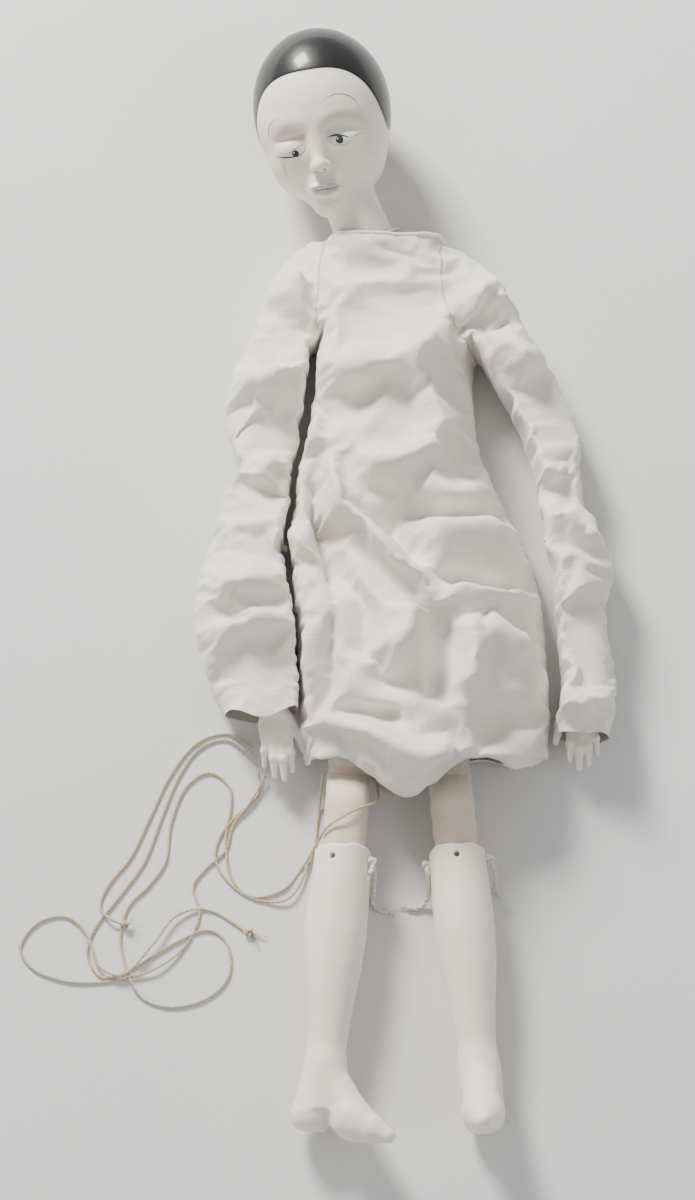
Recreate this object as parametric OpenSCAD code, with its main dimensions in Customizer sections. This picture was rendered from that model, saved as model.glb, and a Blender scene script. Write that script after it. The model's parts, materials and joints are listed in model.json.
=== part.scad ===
// Marionette puppet with a bisque head, hands and boots on a stuffed cloth body, dressed in a
// loose cloth gown. It lies on its back: +Z is up, the head points to +Y and the feet to -Y.
// "r" and "l" are the puppet's own right (-X) and left (+X).

/* [Head and neck] */
// Width of the head across the temples
head_w = 62; // [56:1:66]
// Depth of the skull from forehead to back
head_d = 72; // [66:1:74]
// Wall of the cast head and neck
bisque_wall = 3.5; // [3:0.5:5]
// Forward bow of the head
head_bow = 33; // [28:1:38]
// Lean of the head to its right
head_lean = 13; // [8:1:16]
// Turn of the face to its right
head_turn = 15; // [10:1:20]
// Radius of the round neck flange that the cloth is tied over
flange_r = 13; // [12:0.5:13]

/* [Body] */
// Radius of the stuffed shoulders
shoulder_r = 13; // [12:0.5:13]
// Radius of the stuffed hips
hip_r = 14; // [13:0.5:15]
// Thickness of the body cloth as sewn
cloth_t = 0.8; // [0.6:0.1:1]
// Gap between a cover and what is inside it
inner_gap = 0.3; // [0.2:0.1:0.4]

/* [Arms] */
// Length from shoulder to elbow crease
upper_arm_len = 111; // [105:1:115]
// Length from elbow crease to wrist
forearm_len = 104; // [98:1:108]
// Radius of the stuffed upper arm
arm_r = 8.5; // [7:0.5:9]
// Width of the flat sewn crease at the elbow
elbow_w = 15; // [12:1:15.5]

/* [Legs] */
// Length from hip to knee crease
thigh_len = 100; // [96:1:102]
// Radius of the stuffed thigh
thigh_r = 10.8; // [9:0.2:11]
// Width of the flat sewn creases
crease_w = 19; // [16:1:20]
// Distance from knee crease to the boot's rim
rim_d = 36; // [34:1:38]
// Outer radius of the boot at its rim
rim_r = 11.9; // [11.6:0.1:12.2]
// Distance from knee crease to the bottom of the heel
heel_d = 158; // [156:1:162]
// Radius of the tie holes near each rim
tie_hole_r = 1.2; // [1.1:0.1:1.5]

/* [Gown] */
// Thickness of the gown cloth with its folds
gown_t = 1.5; // [1.2:0.1:1.8]
// Height of the gown over the belly
gown_h = 45; // [42:1:48]
// Thickness of the sleeve cloth with its folds
sleeve_t = 1.2; // [1:0.1:1.5]

/* [Strings] */
// Diameter of the control strings
string_dia = 1.2; // [1:0.1:1.5]

/* [Hidden] */
$fn = 24;

// Places of the joints
neck_at = [-15, 159, 20];
head_at = [-35, 213, 36];
shoulder_at = [[-42, 149, 15], [28, 147, 15]];
hip_at = [[-20, 9, 13.5], [16, 9, 13.5]];
// Directions of the limbs, as a turn about Z from straight down the body
upper_arm_turn = [-11.5, 24];
forearm_turn = [4.5, 2.6];
thigh_turn = [-1.7, 2.3];
calf_turn = [-4.6, 5];
// Roll of each boot about the leg: the right boot lies on its side, the left one toe up
boot_roll = [70, -4];
// The neck leans with the head
neck_lean = [22, 0, 24];

RIGHT = 0;
LEFT = 1;
outward = [-1, 1];
skin = "white";
calico = "wheat";
linen = "ivory";
cotton = "linen";

// The point at distance d down a limb that starts at p and is turned by a
function down(p, a, d) = p + d * [sin(a), -cos(a), 0];
function elbow_at(s) = down(shoulder_at[s], upper_arm_turn[s], upper_arm_len);
function knee_at(s) = down(hip_at[s], thigh_turn[s], thigh_len);

// Put children, drawn down -Y from the origin, on a limb
module on_limb(p, a) { translate(p) rotate([0, 0, a]) children(); }
module on_upper_arm(s) { on_limb(shoulder_at[s], upper_arm_turn[s]) children(); }
module on_forearm(s) { on_limb(elbow_at(s), forearm_turn[s]) children(); }
module on_thigh(s) { on_limb(hip_at[s], thigh_turn[s]) children(); }
module on_calf(s) { on_limb(knee_at(s), calf_turn[s]) children(); }
// Put children, drawn along +Y from the origin, on the neck
module on_neck() { translate(neck_at) rotate([0, 0, neck_lean[2]]) rotate([neck_lean[0], 0, 0]) children(); }
module on_head() {
    translate(head_at) rotate([0, 0, head_lean]) rotate([head_bow, 0, 0]) rotate([0, -head_turn, 0]) children();
}
// A solid of revolution whose axis is -Y, from an outline in [radius, distance]
module turned(outline) { rotate([90, 0, 0]) rotate_extrude($fn = 48) polygon(outline); }

// ---------- stuffed cloth ----------

// How far the stuffing's cover stops from the line of a sewn crease
crease_gap = 2;
// Flat sewn edge of a stuffed limb, len down from its start, drawn in by inset
module crease(len, inset, width) {
    w = width - 3.8 * inset;
    t = 1.6 + 2.6 * inset;
    translate([-w / 2, -(len - crease_gap - 4.4 * inset), -t / 2]) cube([w, 0.3, t]);
}
module ball_at(d, r) { translate([0, -d, 0]) sphere(r = r, $fn = 16); }

// Limb that starts at a narrow sewn end and finishes at a flat crease
module stuffed_limb(len, r, width, inset) {
    hull() {
        ball_at(8, 3.4 - inset);
        ball_at(len * 0.3, r - inset);
        ball_at(len - 17, r * 0.92 - inset);
        crease(len, inset, width);
    }
}
// Limb that starts at a flat crease and finishes as a round plug inside a cast rim
module plug_limb(plug_d, r, plug_r, width, inset) {
    hull() {
        mirror([0, 1, 0]) crease(0, inset, width);
        ball_at(15, r - inset);
        turned([[0, plug_d - 6], [plug_r - inset, plug_d - 6], [plug_r - inset, plug_d - inset], [0, plug_d - inset]]);
    }
}
filling_inset = cloth_t + inner_gap;

// The waist bag of the body, drawn in by inset
module torso_solid(inset) {
    difference() {
        hull() {
            for (x = [-16, 3]) translate([x, 135, 17]) sphere(r = shoulder_r - inset);
            for (x = [-17, 13]) translate([x, 29, 17]) sphere(r = hip_r - inset);
        }
        translate(neck_at) sphere(r = flange_r + 3.6 + inset);
    }
}
module torso_cover() {
    color(calico) difference() {
        torso_solid(0);
        torso_solid(cloth_t);
    }
}
module torso_filling() { color("whitesmoke") torso_solid(filling_inset); }

// The unstuffed cloth between two lines of stitching, which lets a limb swing
module shoulder_gusset(s) {
    color(calico) translate(shoulder_at[s]) rotate([0, -outward[s] * 90, 0]) cylinder(r = 3.6, h = 9.5);
}
module hip_gusset(s) {
    color(calico) translate(hip_at[s]) rotate([0, 90, 0]) cylinder(r = 3.4, h = 14, center = true);
}

module upper_arm_cover(s) {
    color(calico) on_upper_arm(s) difference() {
        stuffed_limb(upper_arm_len, arm_r, elbow_w, 0);
        stuffed_limb(upper_arm_len, arm_r, elbow_w, cloth_t);
    }
}
module upper_arm_filling(s) {
    color("whitesmoke") on_upper_arm(s) stuffed_limb(upper_arm_len, arm_r, elbow_w, filling_inset);
}
module thigh_cover(s) {
    color(calico) on_thigh(s) difference() {
        stuffed_limb(thigh_len, thigh_r, crease_w, 0);
        stuffed_limb(thigh_len, thigh_r, crease_w, cloth_t);
    }
}
module thigh_filling(s) {
    color("whitesmoke") on_thigh(s) stuffed_limb(thigh_len, thigh_r, crease_w, filling_inset);
}
calf_plug_d = rim_d + 17;
calf_plug_r = 8.4;
module calf_cover(s) {
    color(calico) on_calf(s) difference() {
        plug_limb(calf_plug_d, 9.6, calf_plug_r, crease_w, 0);
        plug_limb(calf_plug_d, 9.6, calf_plug_r, crease_w, cloth_t);
    }
}
module calf_filling(s) {
    color("whitesmoke") on_calf(s) plug_limb(calf_plug_d, 9.6, calf_plug_r, crease_w, filling_inset);
}
hand_rim_d = 24;
hand_rim_r = 8.6;
arm_plug_r = 5.4;
module forearm_cover(s) {
    color(calico) on_forearm(s) difference() {
        plug_limb(hand_rim_d + 12, 6, arm_plug_r, elbow_w, 0);
        plug_limb(hand_rim_d + 12, 6, arm_plug_r, elbow_w, cloth_t);
    }
}
module forearm_filling(s) {
    color("whitesmoke") on_forearm(s) plug_limb(hand_rim_d + 12, 6, arm_plug_r, elbow_w, filling_inset);
}

// ---------- neck and head ----------

cup_r = flange_r + inner_gap;
cup_wall = 1.2;
// The gathered cloth reaches from below the flange's widest circle to just above it, in degrees
cup_from = -62;
cup_to = 8;
// Arc of radius r from angle a to angle b, as [radius, distance] points about the neck's axis
function arc(r, a, b, steps = 12) = [for (i = [0:steps]) let (t = a + (b - a) * i / steps) r * [cos(t), sin(t)]];
// Gathered end of the body cloth, drawn over the neck flange
module neck_cloth() {
    color(calico) on_neck() rotate([180, 0, 0])
        turned(concat(arc(cup_r + cup_wall, cup_from, cup_to), arc(cup_r, cup_to, cup_from)));
}
// Cord that binds the cloth under the flange
module neck_tie() {
    color(cotton) on_neck() translate([0, 1, 0]) rotate([90, 0, 0]) rotate_extrude($fn = 64)
        translate([flange_r + 2.3, 0]) circle(r = 0.7, $fn = 16);
}
neck_reach = 40;
// Neck from its round flange up into the skull
module neck_solid(inset) {
    hull() {
        translate([0, 3, 0]) rotate([-90, 0, 0]) cylinder(r = 11.3 - inset, h = 1);
        translate([0, neck_reach, 0]) sphere(r = 13.2 - inset);
    }
}
// Skull and jaw, with the face to +Z and the crown to +Y
module skull_solid(inset) {
    hull() {
        translate([0, 6, 0]) scale([head_w / 2 - inset, 36 - inset, head_d / 2 - inset]) sphere(r = 1, $fn = 32);
        translate([0, -14, 14]) scale([25 - inset, 18 - inset, 15 - inset]) sphere(r = 1);
        translate([0, -34, 19]) scale([12 - inset, 9 - inset, 10 - inset]) sphere(r = 1);
    }
}
module nose_solid() {
    hull() {
        translate([0, -18, 33]) sphere(r = 3.4, $fn = 20);
        translate([0, -2, 28]) sphere(r = 2.4, $fn = 20);
    }
}
// One casting: hollow skull, neck and the flange at its open foot
module head() {
    color(skin) difference() {
        union() {
            on_head() skull_solid(0);
            on_head() nose_solid();
            on_neck() neck_solid(0);
            on_neck() rotate([180, 0, 0]) turned(arc(flange_r, -90, 90, 20));
        }
        on_head() skull_solid(bisque_wall);
        on_neck() neck_solid(bisque_wall);
        on_neck() rotate([90, 0, 0]) cylinder(r = flange_r - 2 * bisque_wall, h = 60, center = true);
    }
}

// ---------- hands ----------

// One finger or thumb, from its root to its tip
module finger(from, to, r) {
    hull() {
        translate(from) sphere(r = r, $fn = 12);
        translate(to) sphere(r = r * 0.7, $fn = 12);
    }
}
finger_x = [-4.6, -1.5, 1.6, 4.5];
finger_len = [27, 31, 29, 24];
// Hand and forearm, one casting; the back of the hand is up and the thumb is next to the body
module hand(s) {
    color(skin) on_forearm(s) {
        difference() {
            turned([[0, 50], [arm_plug_r + 0.9, 50], [arm_plug_r + 0.9, hand_rim_d], [hand_rim_r, hand_rim_d],
                [8.2, 45], [6.6, 80], [5.4, forearm_len], [0, forearm_len + 4]]);
            for (a = [0, 90]) translate([0, -hand_rim_d - 5, 0]) rotate([0, a, 0])
                cylinder(r = tie_hole_r, h = 40, center = true);
        }
        translate([0, -forearm_len, 0]) {
            hull() {
                ball_at(0, 5);
                for (x = [-4.2, 4.2]) translate([x, -14, -3]) sphere(r = 2.9, $fn = 20);
            }
            for (i = [0:3]) finger([outward[s] * finger_x[i], -13, -3], [outward[s] * finger_x[i] * 1.4, -finger_len[i], -6.5], 2.3);
            finger([-outward[s] * 4, -5, -1], [-outward[s] * 11.5, -18, -6], 2.4);
        }
    }
}
// Cord ends through the tie holes, each with a knot outside: holes gives their directions about the limb
module rim_tie(rim, r, knot_r, holes, tail) {
    for (a = holes) translate([0, -rim - 5, 0]) rotate([0, -a, 0]) {
        translate([r - 1.6, 0, 0]) rotate([0, 90, 0]) cylinder(r = tie_hole_r - 0.2, h = knot_r + 1.4, $fn = 20);
        translate([r + knot_r + 0.2, 0, 0]) sphere(r = knot_r, $fn = 20);
    }
    if (tail > 0) translate([0, -rim - 5, 0]) rotate([0, -holes[0], 0])
        translate([r + 2.6, 0, 0]) rotate([90, 0, 12]) cylinder(r = 0.9, h = tail, $fn = 16);
}
module arm_tie(s) { color(cotton) on_forearm(s) rim_tie(hand_rim_d, hand_rim_r, 1.4, [0, 180], 0); }

// ---------- boots ----------

boot_bore_r = 9.7;
boot_shaft = [[0, rim_d + 19], [boot_bore_r, rim_d + 19], [boot_bore_r, rim_d], [rim_r, rim_d],
    [12.2, rim_d + 16], [12.3, rim_d + 34], [10.6, rim_d + 60], [8.3, rim_d + 84], [8, 132], [0, 138]];
// Foot of the boot, toe to +Z: instep, ball and pointed toe over a flat heel
module boot_foot() {
    hull() {
        ball_at(128, 8);
        translate([0, -146, -3]) sphere(r = 8.6);
    }
    hull() {
        ball_at(130, 7.6);
        translate([0, -152, 5]) sphere(r = 8);
        translate([0, -156, 16]) sphere(r = 8);
    }
    hull() {
        translate([0, -156, 16]) sphere(r = 8);
        translate([0, -158.5, 27]) sphere(r = 5.5);
    }
    translate([0, -heel_d, -4]) rotate([-90, 0, 0]) cylinder(r = 8.8, h = 14);
}
module boot(s) {
    color(skin) on_calf(s) rotate([0, boot_roll[s], 0]) difference() {
        union() {
            turned(boot_shaft);
            boot_foot();
        }
        for (a = [0, 90]) translate([0, -rim_d - 5, 0]) rotate([0, a, 0]) cylinder(r = tie_hole_r, h = 40, center = true);
    }
}
module boot_tie(s) {
    holes = [[90], [180, 0]];
    color(cotton) on_calf(s) rotate([0, boot_roll[s], 0]) rim_tie(rim_d, rim_r, 2.1, holes[s], 17);
}

// ---------- gown ----------

// Corners of the gown as it lies, from the right shoulder round to the left one
gown_corners = [[-29, 150], [-38, 60], [-36, -80], [-29, -98], [50, -98], [60, -82], [60, 0], [16, 150]];
// The same corners at the top of the folds, each with its share of the gown's height
gown_tops = [[-22, 143, 0.82], [-26, 60, 0.95], [-25, -70, 0.86], [10, -86, 0.82], [44, -74, 0.8], [42, 10, 1], [10, 143, 0.82]];
fold_r = 7;
seam_z = gown_t + inner_gap;

module gown_solid(inset) {
    hull() {
        for (c = gown_corners) translate([c[0], c[1], seam_z]) cylinder(r = 4 - inset, h = 4);
        for (c = gown_tops) translate([c[0], c[1], gown_h * c[2] - fold_r]) sphere(r = fold_r - inset, $fn = 20);
    }
}
// Room for the neck, the arms and the legs
module gown_openings() {
    translate(neck_at) sphere(r = flange_r + 6.6);
    for (s = [RIGHT, LEFT]) {
        translate(shoulder_at[s]) rotate([0, -outward[s] * 90, 0]) cylinder(r = 5, h = 16);
        on_calf(s) rotate([90, 0, 0]) cylinder(r = 14.8, h = 80, center = true);
    }
}
module gown_front() {
    color(linen) difference() {
        gown_solid(0);
        gown_solid(gown_t);
        translate([-100, -200, seam_z - 50]) cube([200, 400, 50]);
        gown_openings();
    }
}
module gown_back() { color(linen) linear_extrude(gown_t) polygon(gown_corners); }
// Bound edge round the neck opening
module neckband() {
    color(linen) on_neck() translate([0, -3, 0]) rotate([90, 0, 0]) rotate_extrude($fn = 64)
        translate([flange_r + 4.5, 0]) circle(r = 1.1, $fn = 20);
}

// Sleeve from stations down the arm: [distance, shift away from the body, half width]
sleeve_half_h = 14;
module sleeve_solid(s, stations, inset) {
    hull() for (p = stations)
        translate([outward[s] * p[1], -p[0], 0]) scale([p[2] - inset, 10 - inset, min(p[2], sleeve_half_h) - inset])
            sphere(r = 1, $fn = 18);
}
// The ends are cut open at top_d and cuff_d down the arm
module sleeve(s, stations, top_d, cuff_d) {
    color(linen) difference() {
        sleeve_solid(s, stations, 0);
        sleeve_solid(s, stations, sleeve_t);
        translate([-50, -top_d, -50]) cube(100);
        translate([-50, -cuff_d - 100, -50]) cube(100);
    }
}
upper_stations = [[[14, 2, 12.5], [56, 6, 18], [100, 0, 14]], [[14, 3, 12.5], [56, 4, 15], [100, 0, 13.8]]];
lower_stations = [[[12, 0, 14], [64, 10, 24], [100, 5, 18]], [[12, 0, 13.8], [40, 3, 15], [100, 3, 15]]];
sleeve_cuff_d = [105, 103];
module sleeve_upper(s) { on_upper_arm(s) sleeve(s, upper_stations[s], 7, 103); }
module sleeve_lower(s) { on_forearm(s) sleeve(s, lower_stations[s], 8, sleeve_cuff_d[s]); }

// ---------- strings ----------

function unit(v) = v / norm(v);
function way(p, i) = unit(p[min(i + 1, len(p) - 1)] - p[max(i - 1, 0)]);
function side_of(t) = unit(cross(t, [0, 0, 1]));
SIDES = 8;
// Points of one ring of a string at route point i
function ring(p, i, r) = let (t = way(p, i), a = side_of(t), b = cross(a, t))
    [for (k = [0:SIDES - 1]) p[i] + r * (cos(k * 360 / SIDES) * a + sin(k * 360 / SIDES) * b)];
// A round string that follows the route p, with closed ends
module string_along(p) {
    last = len(p) - 1;
    points = [for (i = [0:last]) for (q = ring(p, i, string_dia / 2)) q];
    walls = [for (i = [0:last - 1]) for (k = [0:SIDES - 1])
        let (a = i * SIDES + k, b = i * SIDES + (k + 1) % SIDES)
        for (f = [[a, b, a + SIDES], [b, b + SIDES, a + SIDES]]) f];
    start = [[for (k = [SIDES - 1:-1:0]) k]];
    finish = [[for (k = [0:SIDES - 1]) last * SIDES + k]];
    color("tan") polyhedron(points = points, faces = concat(start, walls, finish));
}

// Height of a string's centre where it lies on the surface below the puppet
lie = 0.7;
function laid(p) = [for (q = p) len(q) == 2 ? [q[0], q[1], lie] : q];
// String 1: from the right hand, round the long loop and back, then over the right leg and under the hem
route_1 = laid([[-66, -80, 4], [-77, -73], [-89, -77], [-98, -90], [-105, -108], [-112, -128], [-122, -143],
    [-133, -158], [-136, -170], [-129, -180], [-115, -175], [-99, -165], [-85, -159], [-76, -165], [-75, -179],
    [-84, -189], [-99, -193], [-112, -189], [-119, -177, 2.2], [-122, -163], [-119, -149], [-110, -139],
    [-103, -128], [-101, -111], [-95, -95], [-85, -88], [-76, -94], [-75, -104], [-77, -117], [-75, -134],
    [-66, -144], [-52, -141], [-43, -130, 1], [-36.5, -122, 12], [-33, -119, 21], [-26, -115, 25],
    [-18, -110, 22], [-11, -105, 14], [-11, -97, 10], [-11, -88, 10]]);
// String 2: short, from the right hand to a knot on string 1
route_2 = laid([[-66, -77, 4], [-77, -70], [-91, -75], [-102, -90], [-110, -108], [-118, -126], [-127, -138],
    [-131, -148], [-127, -154, 2.4], [-120, -157, 1.7]]);
// String 3: from the right fingertips to the crease of the right knee
route_3 = laid([[-63, -88, 3], [-63, -98], [-72, -107], [-80, -118], [-81, -129], [-73, -140], [-61, -146],
    [-48, -144, 2], [-39, -124], [-37, -110], [-36, -101, 3], [-34.8, -92, 12.5]]);
// String 4: from the right fingertips, out to the far loop and back to a free, knotted end
route_4 = laid([[-60, -90, 3], [-66, -101, 2], [-74, -112], [-77, -123], [-86, -132], [-91, -140], [-88, -152],
    [-94, -166], [-106, -176, 2], [-122, -181], [-142, -182], [-158, -177], [-165, -167], [-158, -156],
    [-146, -153], [-137, -160, 2], [-131, -175, 2], [-120, -179, 2.8], [-108, -166, 2.6], [-98, -153, 2],
    [-84, -150], [-67, -160]]);
module string_1() { string_along(route_1); }
module string_2() { string_along(route_2); }
module string_3() { string_along(route_3); }
module string_4() { string_along(route_4); }
// Knot where string 2 is tied on, and the knot at the free end of string 4
module string_knots() {
    color("tan") {
        translate(route_2[len(route_2) - 1]) sphere(r = 1.7, $fn = 24);
        translate([-66, -160.5, 2]) sphere(r = 2, $fn = 24);
    }
}

torso_cover();
torso_filling();
gown_front();
gown_back();
neckband();
string_1();
string_2();
string_3();
string_4();
string_knots();
neck_cloth();
neck_tie();
head();
shoulder_gusset(RIGHT);  // shoulder_gusset_r
upper_arm_cover(RIGHT);  // upper_arm_cover_r
upper_arm_filling(RIGHT);  // upper_arm_filling_r
sleeve_upper(RIGHT);  // sleeve_upper_r
forearm_cover(RIGHT);  // forearm_cover_r
forearm_filling(RIGHT);  // forearm_filling_r
arm_tie(RIGHT);  // arm_tie_r
hand(RIGHT);  // hand_r
sleeve_lower(RIGHT);  // sleeve_lower_r
shoulder_gusset(LEFT);  // shoulder_gusset_l
upper_arm_cover(LEFT);  // upper_arm_cover_l
upper_arm_filling(LEFT);  // upper_arm_filling_l
sleeve_upper(LEFT);  // sleeve_upper_l
forearm_cover(LEFT);  // forearm_cover_l
forearm_filling(LEFT);  // forearm_filling_l
arm_tie(LEFT);  // arm_tie_l
hand(LEFT);  // hand_l
sleeve_lower(LEFT);  // sleeve_lower_l
hip_gusset(RIGHT);  // hip_gusset_r
thigh_cover(RIGHT);  // thigh_cover_r
thigh_filling(RIGHT);  // thigh_filling_r
calf_cover(RIGHT);  // calf_cover_r
calf_filling(RIGHT);  // calf_filling_r
boot(RIGHT);  // boot_r
boot_tie(RIGHT);  // boot_tie_r
hip_gusset(LEFT);  // hip_gusset_l
thigh_cover(LEFT);  // thigh_cover_l
thigh_filling(LEFT);  // thigh_filling_l
calf_cover(LEFT);  // calf_cover_l
calf_filling(LEFT);  // calf_filling_l
boot(LEFT);  // boot_l
boot_tie(LEFT);  // boot_tie_l
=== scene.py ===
"""Marionette puppet: cast head, hands and boots on a stuffed cloth body, in a loose linen gown."""
import json
import math

import bpy
import numpy as np
from mathutils import Matrix, Vector
from mathutils.bvhtree import BVHTree
from mathutils.geometry import delaunay_2d_cdt


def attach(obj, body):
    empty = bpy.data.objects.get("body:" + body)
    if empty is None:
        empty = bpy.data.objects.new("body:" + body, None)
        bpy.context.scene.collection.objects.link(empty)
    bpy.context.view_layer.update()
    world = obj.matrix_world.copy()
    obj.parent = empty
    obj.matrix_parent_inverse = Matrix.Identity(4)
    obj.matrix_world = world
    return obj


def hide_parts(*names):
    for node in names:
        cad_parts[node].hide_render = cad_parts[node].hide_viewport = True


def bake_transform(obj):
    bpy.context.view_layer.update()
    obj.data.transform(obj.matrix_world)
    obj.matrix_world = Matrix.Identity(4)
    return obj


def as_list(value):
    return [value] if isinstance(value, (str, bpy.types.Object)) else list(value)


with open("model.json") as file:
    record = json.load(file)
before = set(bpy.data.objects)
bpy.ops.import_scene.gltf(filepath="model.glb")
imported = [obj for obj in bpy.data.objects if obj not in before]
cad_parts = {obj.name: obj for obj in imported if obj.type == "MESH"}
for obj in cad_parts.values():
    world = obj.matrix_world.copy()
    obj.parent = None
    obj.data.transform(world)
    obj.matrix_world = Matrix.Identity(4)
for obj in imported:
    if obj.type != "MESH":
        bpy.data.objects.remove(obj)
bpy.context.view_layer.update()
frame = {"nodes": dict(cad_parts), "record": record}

# Shapes are worked out in millimetres and kept in metres
MM = 0.001
RIGHT, LEFT = 0, 1
SIDES = ((RIGHT, "r"), (LEFT, "l"))
OUTWARD = (-1, 1)

joints = {j["name"]: j for j in frame["record"]["behaviour"]["joints"]}


def joint_at(name):
    return np.array(joints[name]["pos_m"]) / MM


NECK_AT = joint_at("head_nod")
NECK_WAY = np.array(joints["head_turn"]["axis"])
SHOULDER_AT = [joint_at(f"shoulder_swing_{s}") for _, s in SIDES]
ELBOW_AT = [joint_at(f"elbow_{s}") for _, s in SIDES]
HIP_AT = [joint_at(f"hip_flex_{s}") for _, s in SIDES]
KNEE_AT = [joint_at(f"knee_{s}") for _, s in SIDES]
HEAD_AT = np.array((-35.0, 213.0, 36.0))
HEAD_LEAN, HEAD_BOW, HEAD_TURN = 13, 33, 15
UPPER_ARM_TURN = (-11.5, 24)
FOREARM_TURN = (4.5, 2.6)
THIGH_TURN = (-1.7, 2.3)
CALF_TURN = (-4.6, 5)
BOOT_ROLL = (70, -4)


def turn(degrees, axis):
    return np.array(Matrix.Rotation(math.radians(degrees), 3, axis))


# ---------- camera and light ----------

SENSOR_WIDTH, LENS = 36, 107.52
CAMERA_ELEVATION = math.radians(70)
CAMERA_DISTANCE = 1.6
CAMERA_AIM = Vector((-0.024, -0.007, 0))

camera = bpy.data.objects.new("camera", bpy.data.cameras.new("camera"))
bpy.context.scene.collection.objects.link(camera)
bpy.context.scene.camera = camera
away = Vector((0, -math.cos(CAMERA_ELEVATION), math.sin(CAMERA_ELEVATION)))
camera.location = CAMERA_AIM + away * CAMERA_DISTANCE
camera.rotation_euler = away.to_track_quat("Z", "Y").to_euler()
camera.data.sensor_width = SENSOR_WIDTH
camera.data.lens = LENS


def lamp(name, place, size, power, colour=(1, 1, 1)):
    light = bpy.data.lights.new(name, "AREA")
    light.shape = "RECTANGLE"
    light.size, light.size_y = size
    light.energy = power
    light.color = colour
    made = bpy.data.objects.new(name, light)
    bpy.context.scene.collection.objects.link(made)
    made.location = place
    made.rotation_euler = Vector(place).to_track_quat("Z", "Y").to_euler()


lamp("key", (-0.75, 1.35, 1.0), (0.5, 0.5), 78, (1, 0.97, 0.92))
lamp("fill", (1.3, -0.5, 1.2), (1.0, 1.0), 7, (0.98, 0.98, 1))
lamp("low", (-1.1, -1.0, 0.7), (0.8, 0.5), 4)
world = bpy.data.worlds.new("studio")
bpy.context.scene.world = world
world.use_nodes = True
sky = world.node_tree.nodes["Background"].inputs
sky["Color"].default_value = (1, 0.985, 0.96, 1)
sky["Strength"].default_value = 0.5

# ---------- shader maths ----------


class Value:
    """A shader socket that Python's arithmetic works on."""

    def __init__(self, shader, socket):
        self.shader, self.socket = shader, socket

    def math(self, operation, *others):
        sockets = dict(enumerate((self, *others)))
        return self.shader.node("ShaderNodeMath", {"operation": operation}, sockets)

    def __add__(self, other):
        return self.math("ADD", other)

    def __sub__(self, other):
        return self.math("SUBTRACT", other)

    def __mul__(self, other):
        return self.math("MULTIPLY", other)

    def __rsub__(self, other):
        return self.shader.node("ShaderNodeMath", {"operation": "SUBTRACT"}, {0: other, 1: self})

    def __neg__(self):
        return self.math("MULTIPLY", -1)

    def __abs__(self):
        return self.math("ABSOLUTE")

    def ramp(self, low, high, start=0.0, end=1.0):
        """Goes smoothly from start to end as this goes from low to high."""
        return self.shader.node(
            "ShaderNodeMapRange",
            {"interpolation_type": "SMOOTHSTEP"},
            {"Value": self, "From Min": low, "From Max": high, "To Min": start, "To Max": end},
        )


class Shader:
    """A material and the nodes that lead to it."""

    def __init__(self, name, **settings):
        self.material = bpy.data.materials.new(name)
        self.material.use_nodes = True
        self.tree = self.material.node_tree
        self.surface = self.tree.nodes["Principled BSDF"]
        for socket, value in settings.items():
            self.surface.inputs[socket.replace("_", " ")].default_value = value

    def node(self, kind, settings=None, sockets=None, output=0):
        made = self.tree.nodes.new(kind)
        for key, value in (settings or {}).items():
            setattr(made, key, value)
        for key, value in (sockets or {}).items():
            self.feed(made.inputs[key], value)
        return Value(self, made.outputs[output])

    def feed(self, socket, value):
        if isinstance(value, Value):
            self.tree.links.new(value.socket, socket)
        else:
            socket.default_value = value

    def out(self, name, value):
        self.feed(self.surface.inputs[name], value)

    def place(self):
        """Where a point is on the object, in metres."""
        return self.node("ShaderNodeTexCoord", output="Object")

    def attribute(self, name):
        return self.node("ShaderNodeAttribute", {"attribute_name": name}, output="Vector")

    def parts(self, vector):
        split = self.tree.nodes.new("ShaderNodeSeparateXYZ")
        self.feed(split.inputs[0], vector)
        return [Value(self, o) for o in split.outputs]

    def scaled(self, vector, factors):
        return self.node("ShaderNodeVectorMath", {"operation": "MULTIPLY"}, {0: vector, 1: factors})

    def noise(self, vector, scale, detail=3.0, rough=0.5):
        given = {"Vector": vector, "Scale": scale, "Detail": detail, "Roughness": rough}
        return self.node("ShaderNodeTexNoise", None, given)

    def mix(self, factor, first, second):
        colours = {"data_type": "RGBA"}
        return self.node("ShaderNodeMix", colours, {"Factor": factor, 6: first, 7: second}, output=2)

    def bump(self, height, strength, distance):
        given = {"Strength": strength, "Distance": distance, "Height": height}
        return self.node("ShaderNodeBump", None, given)


def rgb(r, g, b):
    return (r, g, b, 1.0)


CAST_WHITE = rgb(0.86, 0.81, 0.735)
CAST_WARM = rgb(0.70, 0.60, 0.47)
GLAZE_BLACK = rgb(0.012, 0.013, 0.014)
GLAZE_WORN = rgb(0.09, 0.09, 0.09)


def cast_colour(shader, where):
    """Off-white of the fired clay, a little warmer in broad patches, with a few faint specks."""
    patches = shader.noise(where, 28, 4).ramp(0.42, 0.85, 0, 0.35)
    streaks = shader.noise(shader.scaled(where, (60, 9, 60)), 1.0, 5).ramp(0.55, 0.8, 0, 0.28)
    specks = shader.noise(where, 900, 1).ramp(0.74, 0.8, 0, 0.35)
    warm = shader.mix(patches, CAST_WHITE, CAST_WARM)
    warm = shader.mix(streaks, warm, rgb(0.72, 0.63, 0.52))
    return shader.mix(specks, warm, rgb(0.42, 0.33, 0.24))


def cast_bump(shader, where):
    grain = shader.noise(where, 2200, 2) * 0.3 + shader.noise(where, 190, 3)
    return shader.bump(grain, 0.35, 0.0004)


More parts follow.
